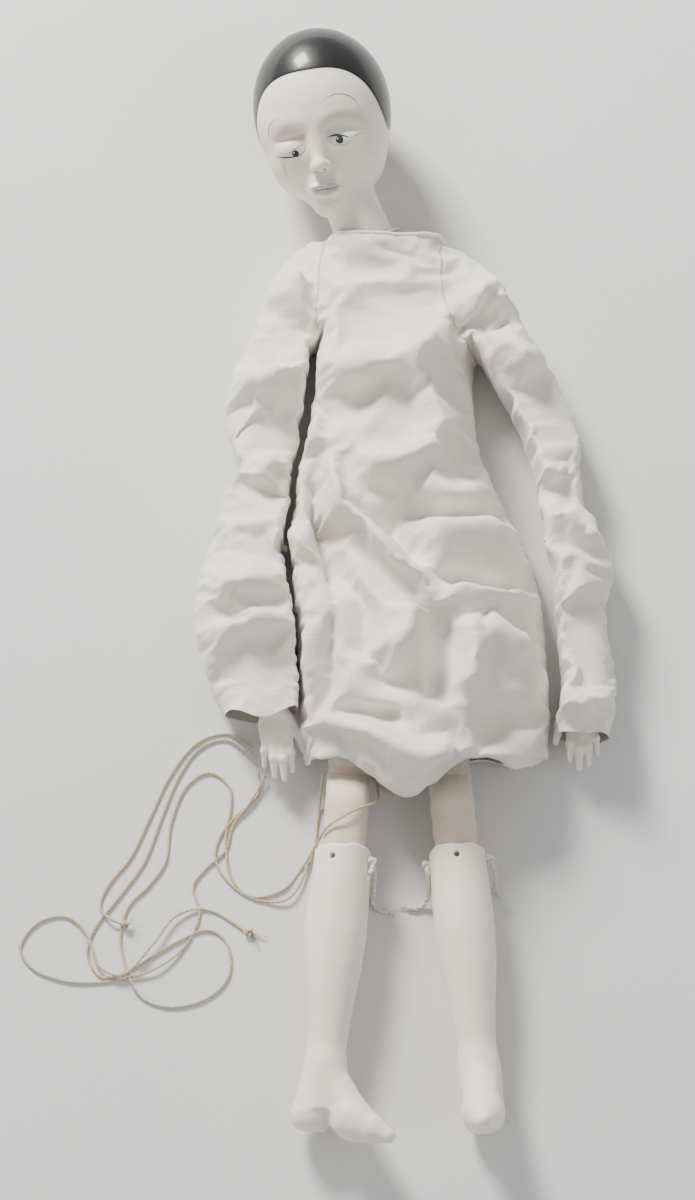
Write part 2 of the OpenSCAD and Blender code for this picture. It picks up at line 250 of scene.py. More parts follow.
def bisque():
    shader = Shader("bisque", Subsurface_Weight=0.12, Subsurface_Scale=0.003, Specular_IOR_Level=0.42)
    where = shader.place()
    shader.out("Base Color", cast_colour(shader, where))
    shader.out("Roughness", shader.noise(where, 60, 3).ramp(0.3, 0.7, 0.42, 0.58))
    shader.out("Normal", cast_bump(shader, where))
    return shader.material


def cloth(name, light, dark, thread, slub, rough=0.85, sheen=0.35, sewn=False):
    """Plain weave with uneven threads, laid out on the cut of the cloth."""
    shader = Shader(name, Sheen_Weight=sheen, Sheen_Roughness=0.45, Specular_IOR_Level=0.25)
    cut = shader.attribute("cut")
    x, y, _ = shader.parts(cut)
    turns = 2 * math.pi / thread
    across = (x * turns).math("SINE")
    along = (y * turns).math("SINE")
    weave = across * along
    weft = shader.noise(shader.scaled(cut, (45, 1100, 45)), 1.0, 3)
    warp = shader.noise(shader.scaled(cut, (1300, 60, 60)), 1.0, 3)
    slubs = weft.ramp(0.52, 0.78) + warp.ramp(0.58, 0.8, 0, 0.5)
    soft = shader.noise(cut, 40, 4).ramp(0.3, 0.75)
    tone = (slubs * slub + soft * 0.35 + weave * 0.06).math("MAXIMUM", 0)
    shader.out("Base Color", shader.mix(tone, light, dark))
    shader.out("Roughness", soft.ramp(0, 1, rough - 0.08, rough))
    height = weave * 0.35 + slubs * 0.8 + shader.noise(cut, 300, 3) * 0.6
    if sewn:
        # in "seam": millimetres from the line where a sleeve is sewn on, then 1 where there is one; the cloth is
        # sunk there and darkened as painted shade in the groove
        away, there, _ = shader.parts(shader.attribute("seam"))
        groove_and_shade = abs(away).ramp(0, 0.9, 1, 0) * there
        lips = abs(away).ramp(0.9, 3.2, 1, 0) * there
        # painted shade: the colour goes darker along the seam groove
        shader.out("Base Color", shader.mix((tone + groove_and_shade * 0.9).math("MINIMUM", 1.0), light, dark))
        height = height + lips * 2.0 - groove_and_shade * 5.0
    shader.out("Normal", shader.bump(height, 0.5, 0.00035))
    return shader.material


def cord_cloth(name, light, dark):
    """Spun fibres: fine streaks and fluff."""
    shader = Shader(name, Sheen_Weight=0.4, Sheen_Roughness=0.5, Specular_IOR_Level=0.2)
    where = shader.place()
    fluff = shader.noise(where, 900, 4, 0.7)
    shader.out("Base Color", shader.mix(fluff.ramp(0.3, 0.75), light, dark))
    shader.out("Roughness", fluff.ramp(0.2, 0.8, 0.8, 0.95))
    shader.out("Normal", shader.bump(fluff, 0.6, 0.0003))
    return shader.material


BISQUE = bisque()
LINEN = cloth("linen", rgb(0.87, 0.84, 0.785), rgb(0.70, 0.655, 0.58), 0.0006, 0.35, sewn=True)
CALICO = cloth("calico", rgb(0.80, 0.70, 0.565), rgb(0.60, 0.49, 0.36), 0.0005, 0.5)
TWINE = cord_cloth("twine", rgb(0.66, 0.55, 0.38), rgb(0.42, 0.32, 0.19))
COTTON = cord_cloth("cotton", rgb(0.80, 0.77, 0.70), rgb(0.58, 0.53, 0.44))

# ---------- meshes ----------


def mesh_object(name, points, edges=(), faces=()):
    """An object in the scene from points in metres."""
    mesh = bpy.data.meshes.new(name)
    mesh.from_pydata(np.asarray(points).tolist(), list(edges), list(faces))
    made = bpy.data.objects.new(name, mesh)
    bpy.context.scene.collection.objects.link(made)
    return made


def piece(name, points, faces, material, **attributes):
    """An object from points in millimetres; attributes are vectors kept at its points."""
    made = mesh_object(name, np.asarray(points) * MM, faces=[list(map(int, f)) for f in faces])
    mesh = made.data
    for key, values in attributes.items():
        mesh.attributes.new(key, "FLOAT_VECTOR", "POINT").data.foreach_set(
            "vector", np.asarray(values, np.float32).ravel()
        )
    mesh.shade_smooth()
    mesh.materials.append(material)
    return made


def carried(obj, body, slot, *nodes):
    """Puts a piece on its body, in the place of its CAD nodes, which it hides; slot is not used."""
    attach(obj, body)
    if nodes:
        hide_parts(*nodes)


def joined(parts):
    """Several (points, faces) as one."""
    points, faces, count = [], [], 0
    for p, f in parts:
        points.append(np.asarray(p, float))
        faces += [[i + count for i in face] for face in f]
        count += len(p)
    return np.concatenate(points), faces


def set_all(target, values):
    for key, value in values.items():
        setattr(target, key, value)


def keep_result(obj):
    """Keeps what an object's modifiers make and takes them off."""
    graph = bpy.context.evaluated_depsgraph_get()
    made = bpy.data.meshes.new_from_object(obj.evaluated_get(graph))
    obj.modifiers.clear()
    obj.data = made


def subdivided(obj):
    set_all(obj.modifiers.new("Subsurf", "SUBSURF"), {"levels": 1, "render_levels": 1})
    keep_result(obj)


def run_along(line):
    """How far along a line each of its points is."""
    return np.concatenate([[0], np.cumsum(np.linalg.norm(np.diff(line, axis=0), axis=1))])


def smooth_line(route, step):
    """Points every step along a smooth curve through the route."""
    route = np.asarray(route, float)
    ends = np.concatenate([[2 * route[0] - route[1]], route, [2 * route[-1] - route[-2]]])
    fine = []
    for a, b, c, d in zip(ends, ends[1:], ends[2:], ends[3:]):
        t = np.linspace(0, 1, 24, endpoint=False)[:, None]
        squared, cubed = 2 * a - 5 * b + 4 * c - d, 3 * b - a - 3 * c + d
        fine.append(0.5 * (2 * b + (c - a) * t + squared * t**2 + cubed * t**3))
    fine = np.concatenate([*fine, route[-1:]])
    far = run_along(fine)
    at = np.linspace(0, far[-1], max(3, int(far[-1] / step) + 1))
    return np.stack([np.interp(at, far, fine[:, k]) for k in range(3)], 1)


def frames_along(line):
    """Two directions across a line at each point, without twist."""
    way = np.gradient(line, axis=0)
    way /= np.linalg.norm(way, axis=1)[:, None]
    side = np.cross(way[0], (0.1, 0.2, 1.0))
    first = []
    for w in way:
        side = side - w * (side @ w)
        side /= np.linalg.norm(side)
        first.append(side)
    first = np.array(first)
    return first, np.cross(way, first)


def angles_round(sides):
    return np.arange(sides) * 2 * math.pi / sides


def ring_faces(rings, sides, flipped=False):
    """Quads from each ring of points to the next."""
    k = np.arange(sides)
    nxt = (k + 1) % sides
    quads = np.stack([k, nxt, sides + nxt, sides + k], 1)
    if flipped:
        quads = quads[:, [0, 3, 2, 1]]
    return np.concatenate([quads + i * sides for i in range(rings - 1)]).tolist()


def tube(line, radius, sides):
    """A tube with closed ends; radius is one number, one for each point, or one for each point and side."""
    a, b = frames_along(line)
    angles = angles_round(sides)
    ring = np.cos(angles)[:, None] * a[:, None] + np.sin(angles)[:, None] * b[:, None]
    if np.ndim(radius) < 2:
        radius = np.broadcast_to(radius, len(line))[:, None]
    points = (line[:, None] + ring * radius[..., None]).reshape(-1, 3)
    k = np.arange(sides)
    last = (len(line) - 1) * sides
    faces = ring_faces(len(line), sides) + [k[::-1].tolist(), (last + k).tolist()]
    return points, faces


STRANDS = 3


def twisted(line, diameter, lay=5.0):
    """Strands laid round each other; lay is how many diameters one turn takes."""
    a, b = frames_along(line)
    far = run_along(line)
    strand_r = 0.27 * diameter
    parts = []
    for k in range(STRANDS):
        angle = 2 * math.pi * (far / (lay * diameter) + k / STRANDS)
        out = np.cos(angle)[:, None] * a + np.sin(angle)[:, None] * b
        parts.append(tube(line + (diameter / 2 - strand_r) * out, strand_r * 1.08, 6))
    return joined(parts)


# ---------- strings ----------

STRING_D = 1.2
LIE = 0.7
ROUTES = (
    ((-66, -80, 4), (-77, -73), (-89, -77), (-98, -90), (-105, -108), (-112, -128), (-122, -143),
     (-133, -158), (-136, -170), (-129, -180), (-115, -175), (-99, -165), (-85, -159), (-76, -165), (-75, -179),
     (-84, -189), (-99, -193), (-112, -189), (-119, -177, 2.2), (-122, -163), (-119, -149), (-110, -139),
     (-103, -128), (-101, -111), (-95, -95), (-85, -88), (-76, -94), (-75, -104), (-77, -117), (-75, -134),
     (-66, -144), (-52, -141), (-43, -130, 1), (-36.5, -122, 12), (-33, -119, 21), (-26, -115, 25),
     (-18, -110, 22), (-11, -105, 14), (-11, -97, 10), (-11, -88, 10)),
    ((-66, -77, 4), (-77, -70), (-91, -75), (-102, -90), (-110, -108), (-118, -126), (-127, -138),
     (-131, -148), (-127, -154, 2.4), (-120, -157, 1.7)),
    ((-63, -88, 3), (-63, -98), (-72, -107), (-80, -118), (-81, -129), (-73, -140), (-61, -146),
     (-48, -144, 2), (-39, -124), (-37, -110), (-36, -101, 3), (-34.8, -92, 12.5)),
    ((-60, -90, 3), (-66, -101, 2), (-74, -112), (-77, -123), (-86, -132), (-91, -140), (-88, -152),
     (-94, -166), (-106, -176, 2), (-122, -181), (-142, -182), (-158, -177), (-165, -167), (-158, -156),
     (-146, -153), (-137, -160, 2), (-131, -175, 2), (-120, -179, 2.8), (-108, -166, 2.6), (-98, -153, 2),
     (-84, -150), (-67, -160)),
)
STRING_LENGTHS = (0.55, 0.13, 0.15, 0.305)
FAR_ENDS = ("object", "object", "object", "knot")


def laid(route):
    return [p if len(p) == 3 else (*p, LIE) for p in route]


def knot(centre, size, thickness, tilt=0):
    """A small overhand knot."""
    t = np.linspace(0, 2 * math.pi, 61)
    loop = np.stack([np.sin(t) + 2 * np.sin(2 * t), np.cos(t) - 2 * np.cos(2 * t), -1.6 * np.sin(3 * t)], 1)
    loop = loop * size / 3 @ turn(tilt, "X").T
    return tube(loop + np.asarray(centre), thickness / 2, 8)


FIBRE_R, FIBRE_LOWEST = 0.09, 0.3


def frays(root, way, length, count, seed):
    """Loose fibres that spread from a cut end."""
    draw = np.random.default_rng(seed)
    parts = []
    for _ in range(count):
        bend = np.asarray(way) + draw.normal(0, 0.35, 3) * (1, 1, 0.3)
        bend2 = bend + draw.normal(0, 0.4, 3) * (1, 1, 0.3)
        reach = length * draw.uniform(0.5, 1)
        mid = np.asarray(root) + bend * reach * 0.5
        tip = mid + bend2 * reach * 0.5
        for p in (mid, tip):
            p[2] = max(p[2], FIBRE_LOWEST)
        parts.append(tube(smooth_line([root, mid, tip], 0.8), FIBRE_R, 3))
    return joined(parts)


strings = []
for number, route in enumerate(ROUTES, 1):
    line = smooth_line(laid(route), 0.55)
    made = piece(f"string_{number}_twine", *twisted(line, STRING_D), TWINE)
    strings.append((made, line))
joint_knots = joined([
    knot(strings[1][1][-1] + (0.4, 0.2, 0.6), 1.5, 1.0, 50),
    frays(strings[1][1][-1] + (1, 1, 0.5), (0.8, 0.5, 0), 5, 7, 3),
])
end_knots = joined([
    knot(strings[3][1][-1] + (0.2, -0.2, 0.7), 1.7, 1.1, 20),
    frays(strings[3][1][-1] + (1, 0, 0.2), (0.75, -0.6, 0), 8, 16, 5),
])
tied_on = piece("string_joint_knot", *joint_knots, TWINE)
free_end = piece("string_end_knot", *end_knots, TWINE)
carried(tied_on, "torso", "string", "string_knots")
carried(free_end, "torso", "string")
WITH_STRING = ([], [tied_on], [], [free_end])
for (made, line), far_end, length, others in zip(strings, FAR_ENDS, STRING_LENGTHS, WITH_STRING):
    carried(made, "torso", "string", made.name[: len("string_1")])
    (line[0] * MM).tolist()
    (line * MM).tolist()
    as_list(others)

# ---------- cast pieces: smooth unions of simple shapes, skinned with quads ----------


def length_of(v):
    return np.sqrt((v * v).sum(-1))


def egg(p, centre, radii):
    q = (p - centre) / radii
    size = length_of(q)
    return size * (size - 1) / np.maximum(length_of(q / radii), 1e-9)


def ball(p, centre, radius):
    return length_of(p - centre) - radius


def rod(p, a, b, ra, rb):
    """A round rod from a to b whose radius goes from ra to rb."""
    a, b = np.asarray(a, float), np.asarray(b, float)
    t = np.clip((p - a) @ (b - a) / ((b - a) @ (b - a)), 0, 1)
    return length_of(p - a - t[:, None] * (b - a)) - (ra + (rb - ra) * t)


def merge(a, b, soft):
    t = np.clip(0.5 + 0.5 * (b - a) / soft, 0, 1)
    return b * (1 - t) + a * t - soft * t * (1 - t)


def carve(a, b, soft):
    return -merge(-a, b, soft)


def skin(field, low, high, step):
    """Points and quads on the surface where field(points) is zero; the field is negative inside."""
    axes = [np.arange(a, b + step, step) for a, b in zip(low, high)]
    grid = np.stack(np.meshgrid(*axes, indexing="ij"), -1)
    inside = (field(grid.reshape(-1, 3)) < 0).reshape(grid.shape[:3])
    corners = sum(
        inside[i : i + s[0], j : j + s[1], k : k + s[2]].astype(int)
        for s in [np.array(inside.shape) - 1]
        for i in (0, 1)
        for j in (0, 1)
        for k in (0, 1)
    )
    used = (corners > 0) & (corners < 8)
    number = np.full(used.shape, -1)
    number[used] = np.arange(used.sum())
    points = grid[:-1, :-1, :-1][used] + step / 2
    for _ in range(7):
        value = field(points)
        slope = np.stack([(field(points + e) - field(points - e)) / 0.04 for e in np.eye(3) * 0.02], 1)
        move = value / np.maximum((slope * slope).sum(1), 0.1)
        points = points - np.clip(move, -step, step)[:, None] * slope
    faces = []
    for axis in range(3):
        a, b = (axis + 1) % 3, (axis + 2) % 3
        value = np.moveaxis(inside, (axis, a, b), (0, 1, 2))
        cell = np.moveaxis(number, (axis, a, b), (0, 1, 2))
        start, end = value[:-1, 1:-1, 1:-1], value[1:, 1:-1, 1:-1]
        i, j, k = np.nonzero(start != end)
        quads = np.stack([cell[i, j, k], cell[i, j + 1, k], cell[i, j + 1, k + 1], cell[i, j, k + 1]], 1)
        back = ~start[i, j, k]
        quads[back] = quads[back][:, ::-1]
        faces.append(quads)
    return points, np.concatenate(faces)


# ---------- head ----------

HEAD_TURNED = turn(HEAD_LEAN, "Z") @ turn(HEAD_BOW, "X") @ turn(-HEAD_TURN, "Y")


def to_head(points):
    return (points - HEAD_AT) @ HEAD_TURNED


def from_head(points):
    return points @ HEAD_TURNED.T + HEAD_AT


NECK_FOOT = to_head(NECK_AT + 2 * NECK_WAY)
NECK_TOP = to_head(NECK_AT + 42 * NECK_WAY)
EYE = np.array((11.8, -7.2, 22.6))


def cap_edge(p):
    """How far a point is inside the painted cap: beyond the oval of the face and above the nape."""
    x, y, z = p.T
    oval = ((np.abs(x / 29.6) ** 2.7 + np.abs((y + 12) / 38.6) ** 2.7) ** (1 / 2.7) - 1) * 32
    behind = -2.0 - z - 0.25 * (y + 10)
    side = np.maximum(oval, behind)
    nape = y + 17.0 - 0.10 * (z + 12)
    return np.minimum(side, nape)


def head_field(p):
    skull = egg(p, (0, 6.5, -4), (31, 35.5, 33))
    face = egg(p, (0.6, -5, 6.5), (26.0, 31.5, 23.5))
    out = merge(skull, face, 10)
    mirrored = np.abs(p) * (1, 0, 0) + p * (0, 1, 1)
    out = merge(out, egg(mirrored, (12.5, -15, 15), (10.0, 9.5, 10.0)), 7)
    out = merge(out, egg(p, (0.8, -27.5, 15), (13.6, 11.5, 13.5)), 7)
    out = merge(out, egg(p, (1.0, -34.6, 22.4), (9.0, 6.8, 7.2)), 4)
    out = merge(out, egg(mirrored, (16.5, -19, 3), (6.5, 11, 14)), 8)
    # brow and the hollows of the eyes
    out = merge(out, rod(mirrored, (5, 4.2, 25.5), (17, 4.4, 20.5), 3.4, 2.6), 5)
    out = carve(out, egg(mirrored, (11.8, -3.4, 34.2), (8.4, 6.2, 6.8)), 5)
    # eyelids
    out = merge(out, egg(mirrored, EYE, (8.2, 6.0, 7.0)), 1.6)
    out = carve(out, rod(mirrored, EYE + (-6.5, 5.4, 5.5), EYE + (6.5, 4.6, 3.0), 0.9, 0.8), 1.6)
    # nose
    out = merge(out, rod(p, (0, 1, 27), (0, -13.8, 33.0), 2.3, 2.8), 4.2)
    out = merge(out, egg(p, (0, -15.4, 34.2), (3.1, 2.8, 3.3)), 2.2)
    out = merge(out, egg(mirrored, (3.1, -16.1, 31.4), (1.9, 2.1, 3.0)), 1.6)
    out = carve(out, egg(mirrored, (1.9, -18.0, 33.2), (0.9, 0.8, 1.3)), 0.7)
    # mouth
    out = merge(out, egg(p, (0.6, -26.4, 27.0), (7.4, 6.2, 4.4)), 5)
    out = carve(out, rod(p, (0, -19.8, 33.4), (0.3, -23.2, 33.4), 0.7, 1.0), 1.6)
    out = merge(out, egg(mirrored, (2.9, -25.0, 30.7), (4.2, 1.6, 2.2)), 1.3)
    out = merge(out, egg(p, (0.4, -28.1, 30.4), (5.2, 2.1, 2.4)), 1.4)
    out = carve(out, rod(mirrored, (0, -26.45, 33.3), (7.0, -26.2, 30.9), 0.55, 0.3), 0.7)
    out = carve(out, egg(p, (0.6, -31.8, 31.2), (5.6, 1.4, 1.8)), 2.0)
    # neck
    out = merge(out, rod(p, NECK_FOOT, NECK_TOP, 12.9, 11.2), 3.2)
    # the cap stands slightly proud
    return out - 0.35 / (1 + np.exp(-cap_edge(p) / 0.25))


HEAD_LOW, HEAD_HIGH = (-34, -62, -42), (34, 46, 42)
low = np.minimum(HEAD_LOW, np.minimum(NECK_FOOT, NECK_TOP) - 16)
HEAD_STEP = 0.9
head_points, head_faces = skin(head_field, low, HEAD_HIGH, HEAD_STEP)


def painted_face():
    """Fired white with a glossy cap and fine brush lines, all placed in the head's own millimetres."""
    shader = Shader(
        "painted_face", Subsurface_Weight=0.12, Subsurface_Scale=0.003, Coat_Roughness=0.09, Coat_IOR=1.35,
        Specular_IOR_Level=0.3,
    )
    where = shader.place()
    wobble = shader.noise(where, 700, 2)
    x, y, z = shader.parts(shader.attribute("face"))
    x = x + (wobble - 0.5) * 0.25
    cap = shader.parts(shader.attribute("marks"))[0]

    def side(a, b, sagitta):
        """Distance to the arc from a to b that rises by sagitta to its left: above zero on its right side."""
        (ax, ay), (bx, by) = a, b
        chord = math.hypot(bx - ax, by - ay)
        radius = (chord * chord / 4 + sagitta * sagitta) / (2 * abs(sagitta))
        nx, ny = -(by - ay) / chord, (bx - ax) / chord
        back = sagitta - math.copysign(radius, sagitta)
        cx, cy = (ax + bx) / 2 + nx * back, (ay + by) / 2 + ny * back
        dx, dy = x - cx, y - cy
        away = (dx * dx + dy * dy).math("SQRT")
        return radius - away if sagitta > 0 else away - radius

    def stroke(a, b, low_sagitta, high_sagitta, soft=0.12, strength=1.0):
        """The area between two arcs with the same ends."""
        upper = side(a, b, high_sagitta)
        lower = side(a, b, low_sagitta)
        return upper.math("MINIMUM", -lower).ramp(-soft, soft, 0, strength) * z.ramp(2, 6)

    def dot(cx, cy, radius, soft=0.15, strength=1.0):
        dx, dy = x - cx, y - cy
        return (radius - (dx * dx + dy * dy).math("SQRT")).ramp(-soft, soft, 0, strength) * z.ramp(2, 6)

    colour = cast_colour(shader, where)
    ink = rgb(0.035, 0.03, 0.03)
    for mask, paint in face_paint(stroke, dot, ink):
        colour = shader.mix(mask, colour, paint)
    black = cap.ramp(-0.12, 0.12)
    rubbed = shader.noise(where, 45, 5).ramp(0.5, 0.9, 0, 0.12)
    glaze = shader.mix(rubbed, GLAZE_BLACK, GLAZE_WORN)
    shader.out("Base Color", shader.mix(black, colour, glaze))
    shader.out("Roughness", black.ramp(0, 1, 0.5, 0.36) + rubbed)
    shader.out("Coat Weight", black * 0.4)
    shader.out("Normal", cast_bump(shader, where))
    return shader.material


FRECKLES = ((11.6, 6.4), (14.0, 5.4), (15.0, 6.2), (-17.0, -0.4), (-18.2, -2.0))


def face_paint(stroke, dot, ink):
    """Every painted mark, from the softest to the finest."""
    shade = rgb(0.46, 0.31, 0.17)
    lid = rgb(0.68, 0.64, 0.53)
    white = rgb(0.62, 0.68, 0.72)
    lip = rgb(0.40, 0.42, 0.43)
    return [
        (stroke((-20.5, -3.4), (-3.6, -2.6), 2.2, 6.4, 2.6, 0.5), shade),
        (stroke((-20.0, -6.4), (-4.4, -4.4), 1.2, 4.8, 1.8, 0.4), lid),
        (stroke((4.2, 0.6), (22.6, -2.0), 3.6, 8.4, 2.8, 0.45), shade),
        (stroke((4.4, -2.0), (21.6, -4.0), 1.6, 5.2, 1.8, 0.42), lid),
        # eyes: white, iris, lids and lashes, and a painted highlight on each iris
        (stroke((-14.2, -9.5), (-5.2, -5.9), -1.9, 0.75, 0.15, 0.85), white),
        (dot(-10.5, -8.9, 1.6), ink),
        (stroke((-20.6, -9.1), (-9.6, -10.3), -0.75, 0.05, 0.12), ink),
        (stroke((-10.8, -10.6), (-5.0, -5.6), -1.45, -0.95, 0.12, 0.9), ink),
        (stroke((-14.2, -9.2), (-4.9, -5.5), 0.7, 1.1, 0.12, 0.85), ink),
        (stroke((4.6, -4.9), (15.6, -6.8), -2.3, 1.3, 0.15, 0.85), white),
        (dot(10.5, -6.1, 1.8), ink),
        (stroke((4.2, -4.4), (15.8, -6.5), 0.95, 1.85, 0.12), ink),
        (stroke((14.6, -6.2), (21.0, -5.3), -0.1, 0.25, 0.12, 0.9), ink),
        (stroke((5.0, -5.4), (16.0, -7.0), -2.55, -2.2, 0.12, 0.75), ink),
        # painted highlights: a small light dot on each iris, standing for a glint in the eye
        (dot(9.7, -5.5, 0.42, 0.12, 0.8), white),
        (dot(-11.2, -8.4, 0.38, 0.12, 0.8), white),
        # brows
        (stroke((-21.6, -2.2), (-15.0, 7.6), 3.0, 3.5, 0.12, 0.8), ink),
        (stroke((5.7, 11.6), (20.9, 5.4), 5.0, 5.5, 0.12, 0.8), ink),
        # tear lines
        (stroke((-18.4, -10.4), (-17.2, -19.0), 0.3, 0.65, 0.12, 0.75), ink),
        (stroke((-18.9, -10.6), (-17.2, -19.0), -0.7, -0.35, 0.12, 0.6), ink),
        *((dot(*place, 0.28, 0.15, 0.6), shade) for place in FRECKLES),
        # nostrils
        (dot(-2.0, -17.9, 0.8, 0.25, 0.9), ink),
        (dot(2.1, -17.7, 0.65, 0.25, 0.8), ink),
        # lips
        (stroke((-6.4, -26.6), (0.6, -26.0), 0.05, 1.9, 0.3, 0.75), lip),
        (stroke((0.2, -26.0), (7.0, -26.4), 0.05, 1.9, 0.3, 0.75), lip),
        (stroke((-6.2, -26.5), (6.8, -26.3), -3.5, -0.2, 0.4, 0.65), lip),
        (stroke((-6.8, -26.6), (7.3, -26.4), -0.4, 0.15, 0.12, 0.85), rgb(0.10, 0.11, 0.12)),
    ]


head = piece(
    "bisque_head", from_head(head_points), head_faces, painted_face(), face=head_points,
    marks=np.stack([cap_edge(head_points), head_points[:, 0] * 0, head_points[:, 0] * 0], 1),
)
carried(head, "head", "bisque", "head")

# ---------- hands ----------


def on_limb(points, at, degrees):
    return np.asarray(points) @ turn(degrees, "Z").T + at


HAND_RIM, WRIST = 24, 104
HAND_PROFILE = ((0, 0), (HAND_RIM, 8.4), (45, 8.2), (70, 7.0), (92, 5.4), (WRIST, 4.9), (WRIST + 30, 4.0))
# Roots and joints of the fingers, then the thumb: (x away from the body, y, z), with radii
FINGERS = (
    (((-4.5, -115, -2.2), (-5.4, -123.5, -2.0), (-5.6, -130.5, -5.4)), (2.35, 2.0, 1.35)),
    (((-1.5, -116, -1.6), (-2.0, -126.5, -1.2), (-2.2, -134.6, -4.6)), (2.4, 2.05, 1.35)),
    (((1.6, -115.5, -1.8), (1.9, -125.5, -1.8), (2.0, -132.8, -5.4)), (2.35, 1.95, 1.3)),
    (((4.3, -114, -2.6), (5.6, -121.5, -2.8), (6.0, -127.6, -6.0)), (2.15, 1.75, 1.2)),
    (((-4.6, -107.5, -1.8), (-9.4, -114.5, -3.2), (-11.6, -121.8, -5.4)), (2.7, 2.2, 1.45)),
)


def hand_field(side):
    flip = np.array((OUTWARD[side], 1, 1))

    def field(p):
        p = p * flip
        d = -p[:, 1]
        arm = length_of(p[:, [0, 2]]) - np.interp(d, *zip(*HAND_PROFILE))
        arm = np.maximum(arm, np.maximum(HAND_RIM - d, d - (WRIST + 3)))
        bore = np.maximum(length_of(p[:, [0, 2]]) - 6.6, d - 52)
        arm = carve(arm, bore, 0.8)
        palm = egg(p, (-0.2, -112, -1.6), (7.9, 9.5, 3.9))
        palm = merge(palm, egg(p, (-5.0, -110, -3.4), (3.6, 6.0, 3.2)), 2.0)
        out = merge(arm, palm, 4.5)
        for (root, knuckle, tip), (r0, r1, r2) in FINGERS:
            finger = merge(rod(p, root, knuckle, r0, r1), rod(p, knuckle, tip, r1, r2), 0.6)
            out = merge(out, finger, 1.3)
            out = merge(out, ball(p, knuckle, r1 + 0.12), 0.8)
        return out

    return field


LIMB_STEP = 0.8


def cast_limb(node, field, low, high, at, degrees, body, roll=0):
    points, faces = skin(field, low, high, LIMB_STEP)
    points = on_limb(points @ turn(roll, "Y").T, at, degrees)
    carried(piece(f"bisque_{node}", points, faces, BISQUE), body, "bisque", node)


for side, s in SIDES:
    cast_limb(
        f"hand_{s}", hand_field(side), (-15, -140, -12), (15, -21, 12), ELBOW_AT[side], FOREARM_TURN[side],
        f"forearm_{s}",
    )

# ---------- boots ----------

RIM = 36
BOOT_PROFILE = (
    (RIM - 8, 12.2), (RIM, 12.1), (46, 12.3), (62, 12.9), (74, 12.9), (88, 11.9), (104, 9.9), (120, 8.4),
    (134, 8.0), (150, 8.0),
)


def boot_field(p):
    x, y, z = p.T
    d = -y
    calf = np.interp(d, (46, 70, 100), (0, 1.0, 0))
    shaft = np.sqrt(x**2 + ((z + 0.5 * calf) / (1 + 0.05 * calf)) ** 2)
    shaft = shaft - np.interp(d, *zip(*BOOT_PROFILE))
    angle = np.arctan2(z, x)
    rim = RIM + 0.5 * np.sin(2 * angle + 0.6) + 0.35 * np.sin(5 * angle) + 0.2 * np.sin(9 * angle + 2)
    shaft = np.maximum(shaft, d - 150)
    heel = rod(p, (0, -130, 0), (0, -152, -4.2), 7.6, 8.8)
    foot = merge(heel, rod(p, (0, -134, 1), (0, -152.5, 14), 7.6, 7.8), 4)
    foot = merge(foot, rod(p, (0, -154.5, 14), (0, -157.6, 22), 8.2, 6.6), 4)
    foot = merge(foot, rod(p, (0, -156.5, 18), (0, -160.4, 30.5), 6.6, 3.4), 3)
    out = merge(shaft, foot, 4)
    heel_line = d - (158.3 + 0.02 * (z + 4))
    sole_line = d - (162.2 + 0.06 * z)
    step = np.clip((z - 6.0) / 1.6, 0, 1)
    out = -merge(-out, -(heel_line * (1 - step) + sole_line * step), 1.0)
    arch = rod(p, (-14, -162.6, 6.6), (14, -162.6, 6.6), 3.0, 3.0)
    out = carve(out, arch, 1.2)
    bore = np.maximum(np.hypot(x, z) - 10.2, d - (RIM + 19))
    out = carve(out, bore, 1.0)
    out = carve(out, d - rim, 0.8)
    for across, lower in ((z, 0.8), (x, 0)):
        hole = np.hypot(across, d - RIM - 5 - lower) - 1.25
        out = carve(out, hole, 0.4)
    return out


for side, s in SIDES:
    cast_limb(
        f"boot_{s}", boot_field, (-15, -168, -16), (15, -32, 36), KNEE_AT[side], CALF_TURN[side], f"calf_{s}",
        BOOT_ROLL[side],
    )

# ---------- stuffed cloth body ----------


def noise_at(points, scale, seed=0):
    """Smooth variation from -1 to 1, the same each time: a few waves in fixed directions."""
    draw = np.random.default_rng(seed)
    total = np.zeros(len(points))
    for _ in range(9):
        way = draw.normal(size=3)
        total += np.sin(points @ way / scale * draw.uniform(0.7, 1.6) + draw.uniform(0, 6.28))
    return total / 4


def squarer(values, power):
    """Sines or cosines drawn towards a rounded square."""
    return np.sign(values) * np.abs(values) ** power


PUCKER_REACH, PUCKERS_ROUND = 7, 11
LIMB_SIDES, LIMB_RINGS = 44, 64


